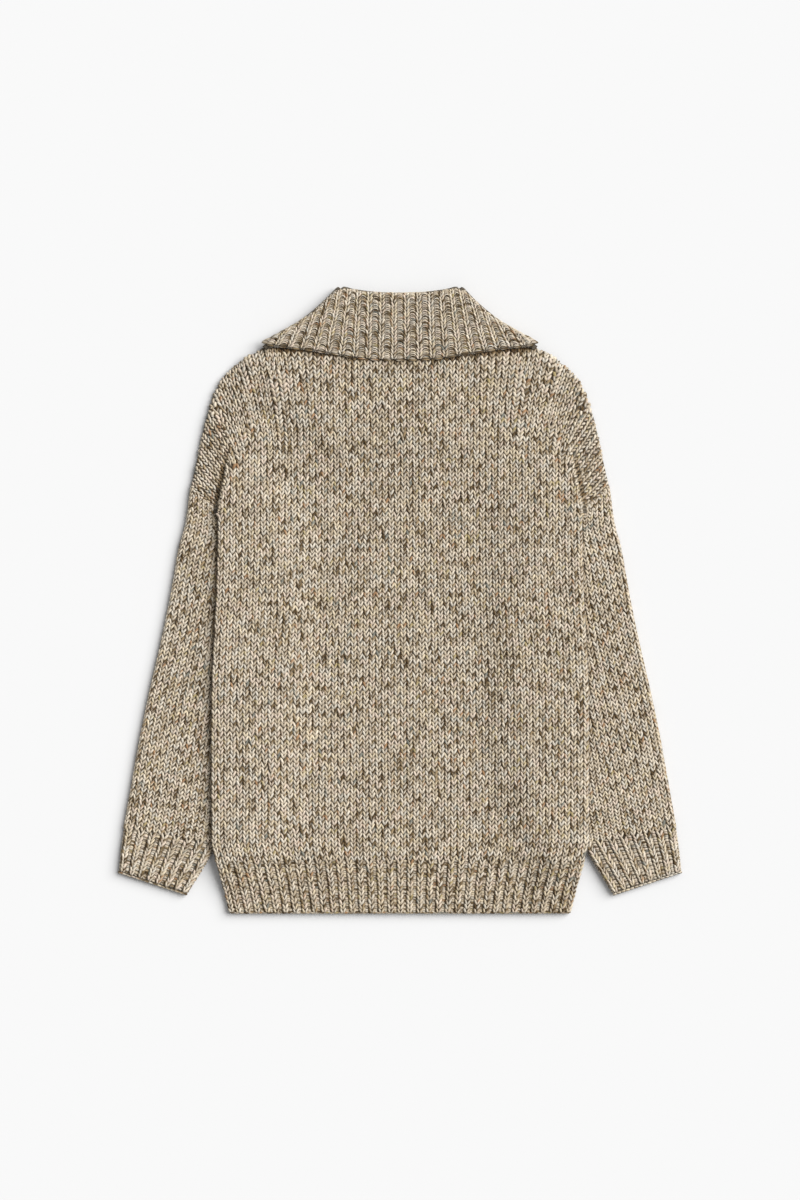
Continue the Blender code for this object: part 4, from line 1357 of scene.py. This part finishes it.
# the outline turned about the upright axis, with a fan of triangles over each end
def makeButton(number, y):
    sides = button["sides"]
    turn = np.arange(sides) / sides * 2 * np.pi
    radius, height = button["outline"][:, 0:1], button["outline"][:, 1:2]
    rings = np.dstack([radius * np.cos(turn), radius * np.sin(turn) + y, height + 0 * turn])
    points = np.vstack([rings.reshape(-1, 3), [(0, y, z) for z in button["faceHeights"]]])
    index = np.arange(rings.shape[0] * sides).reshape(-1, sides)
    first, last = index[0], index[-1]
    tris = np.vstack([
        np.stack([np.full(sides, len(points) - 2), np.roll(first, -1), first], -1),
        np.stack([last, np.roll(last, -1), np.full(sides, len(points) - 1)], -1),
    ])
    faces = [gridQuads(index, True), tris]
    obj = makeMesh(f"button_{number}_horn", points, faces, [buttonMaterial])
    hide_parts(f"button_{number}")


# four short threads over the middle of each button, in two crossing pairs
def sewButton(number, y):
    u = np.linspace(-6, 6, 13)
    gridX, gridY = np.meshgrid(u, u)
    surface = makeSurface(np.dstack([gridX, gridY + y, 0.45 + 0 * gridX]), u, u)
    reach, (low, high) = button["threadReach"], button["threadY"]
    run = 2 * reach * strand["along"]
    uu = np.tile(run - reach, (4, 1))
    vv = np.stack([low + run, high + run, -low - run, -high - run])
    depth = knit["yarnSink"] + 0.1 - 0.3 * np.sin(np.pi * strand["along"]) + 0 * uu
    strandMesh(f"button_{number}_thread", surface, (uu, vv, depth), button["threadRadius"])


bands = [makeBand("placket_outer"), makeBand("placket_inner")]
for makePiece in (makeButton, sewButton):
    for number in range(1, button["count"] + 1):
        makePiece(number, button["topY"] - (number - 1) * button["pitch"])
print("stage 7: bands and buttons made")


# a panel lies nearly flat, so its outline from above is its cut: its first row, last column, last row
# and first column, end to end
def panelOutline(wales, neck):
    plan = np.dstack(columnPath(wales, neck, 40, 40))
    return np.vstack([plan[0], plan[:, -1], plan[-1, ::-1], plan[::-1, 0]])


backWales = np.linspace(-body["sideX"], body["sideX"], 120)
frontWales = np.linspace(body["frontEdgeX"], body["sideX"], 80)
panelOutline(backWales, backNeck)
for front in fronts:
    panelOutline(frontWales, frontNeck)


view = {
    "distance": 3.4,       # metres
    "pixel": 1.2,          # millimetres of the cloth for each pixel of the photo
    "imageHeight": 1200,
    "floor": 0.638,
    "floorHalf": 3.0,      # metres
    "sky": 0.42,
    "key": 5.0,
    "keyWidth": 50.0,      # degrees across
    "keyTurn": 31.0,       # degrees from +X towards +Y
    "keyRise": 42.0,       # degrees above the floor
}


# a pale square a little below the cloth
def makeStage():
    mesh = bpy.data.meshes.new("floor")
    half = view["floorHalf"]
    corners = [(-half, -half, 0), (half, -half, 0), (half, half, 0), (-half, half, 0)]
    mesh.from_pydata(corners, [], [(0, 1, 2, 3)])
    floor = bpy.data.objects.new("floor", mesh)
    floor.location.z = -0.0004
    bpy.context.scene.collection.objects.link(floor)
    material, tree, shader = newMaterial("paleFloor", 0.9, 0.0, 0.0)
    shader.inputs["Base Color"].default_value = (view["floor"], view["floor"], view["floor"], 1)
    mesh.materials.append(material)


# a wide, even light from the upper right, as from a large softbox, and a sky that is even all round
def makeLights():
    light = bpy.data.lights.new("key", "SUN")
    light.angle = np.radians(view["keyWidth"])
    light.energy = view["key"]
    turn, rise = np.radians(view["keyTurn"]), np.radians(view["keyRise"])
    toward = Vector((np.cos(rise) * np.cos(turn), np.cos(rise) * np.sin(turn), np.sin(rise)))
    obj = bpy.data.objects.new("key", light)
    obj.location = toward * 3
    obj.rotation_euler = (-toward).to_track_quat("-Z", "Y").to_euler()
    bpy.context.scene.collection.objects.link(obj)
    world = bpy.data.worlds.new("studio")
    world.use_nodes = True
    sky = world.node_tree.nodes["Background"]
    sky.inputs[0].default_value = (1.0, 1.0, 1.0, 1.0)
    sky.inputs[1].default_value = view["sky"]
    bpy.context.scene.world = world


# straight above; its lens makes the image's height that many pixels of cloth: sensor x distance / height
def makeCamera():
    camera = bpy.data.cameras.new("camera")
    camera.sensor_fit = "VERTICAL"
    camera.sensor_height = 24.0
    camera.lens = camera.sensor_height * view["distance"] / (view["imageHeight"] * view["pixel"] * mm)
    camera.clip_end = 50.0
    obj = bpy.data.objects.new("camera", camera)
    obj.location = (0.0, 0.0, view["distance"])
    bpy.context.scene.collection.objects.link(obj)
    bpy.context.scene.camera = obj


makeStage()
makeLights()
makeCamera()
bpy.context.scene.view_settings.view_transform = "Standard"
print("stage 8: floor, lights and camera set")
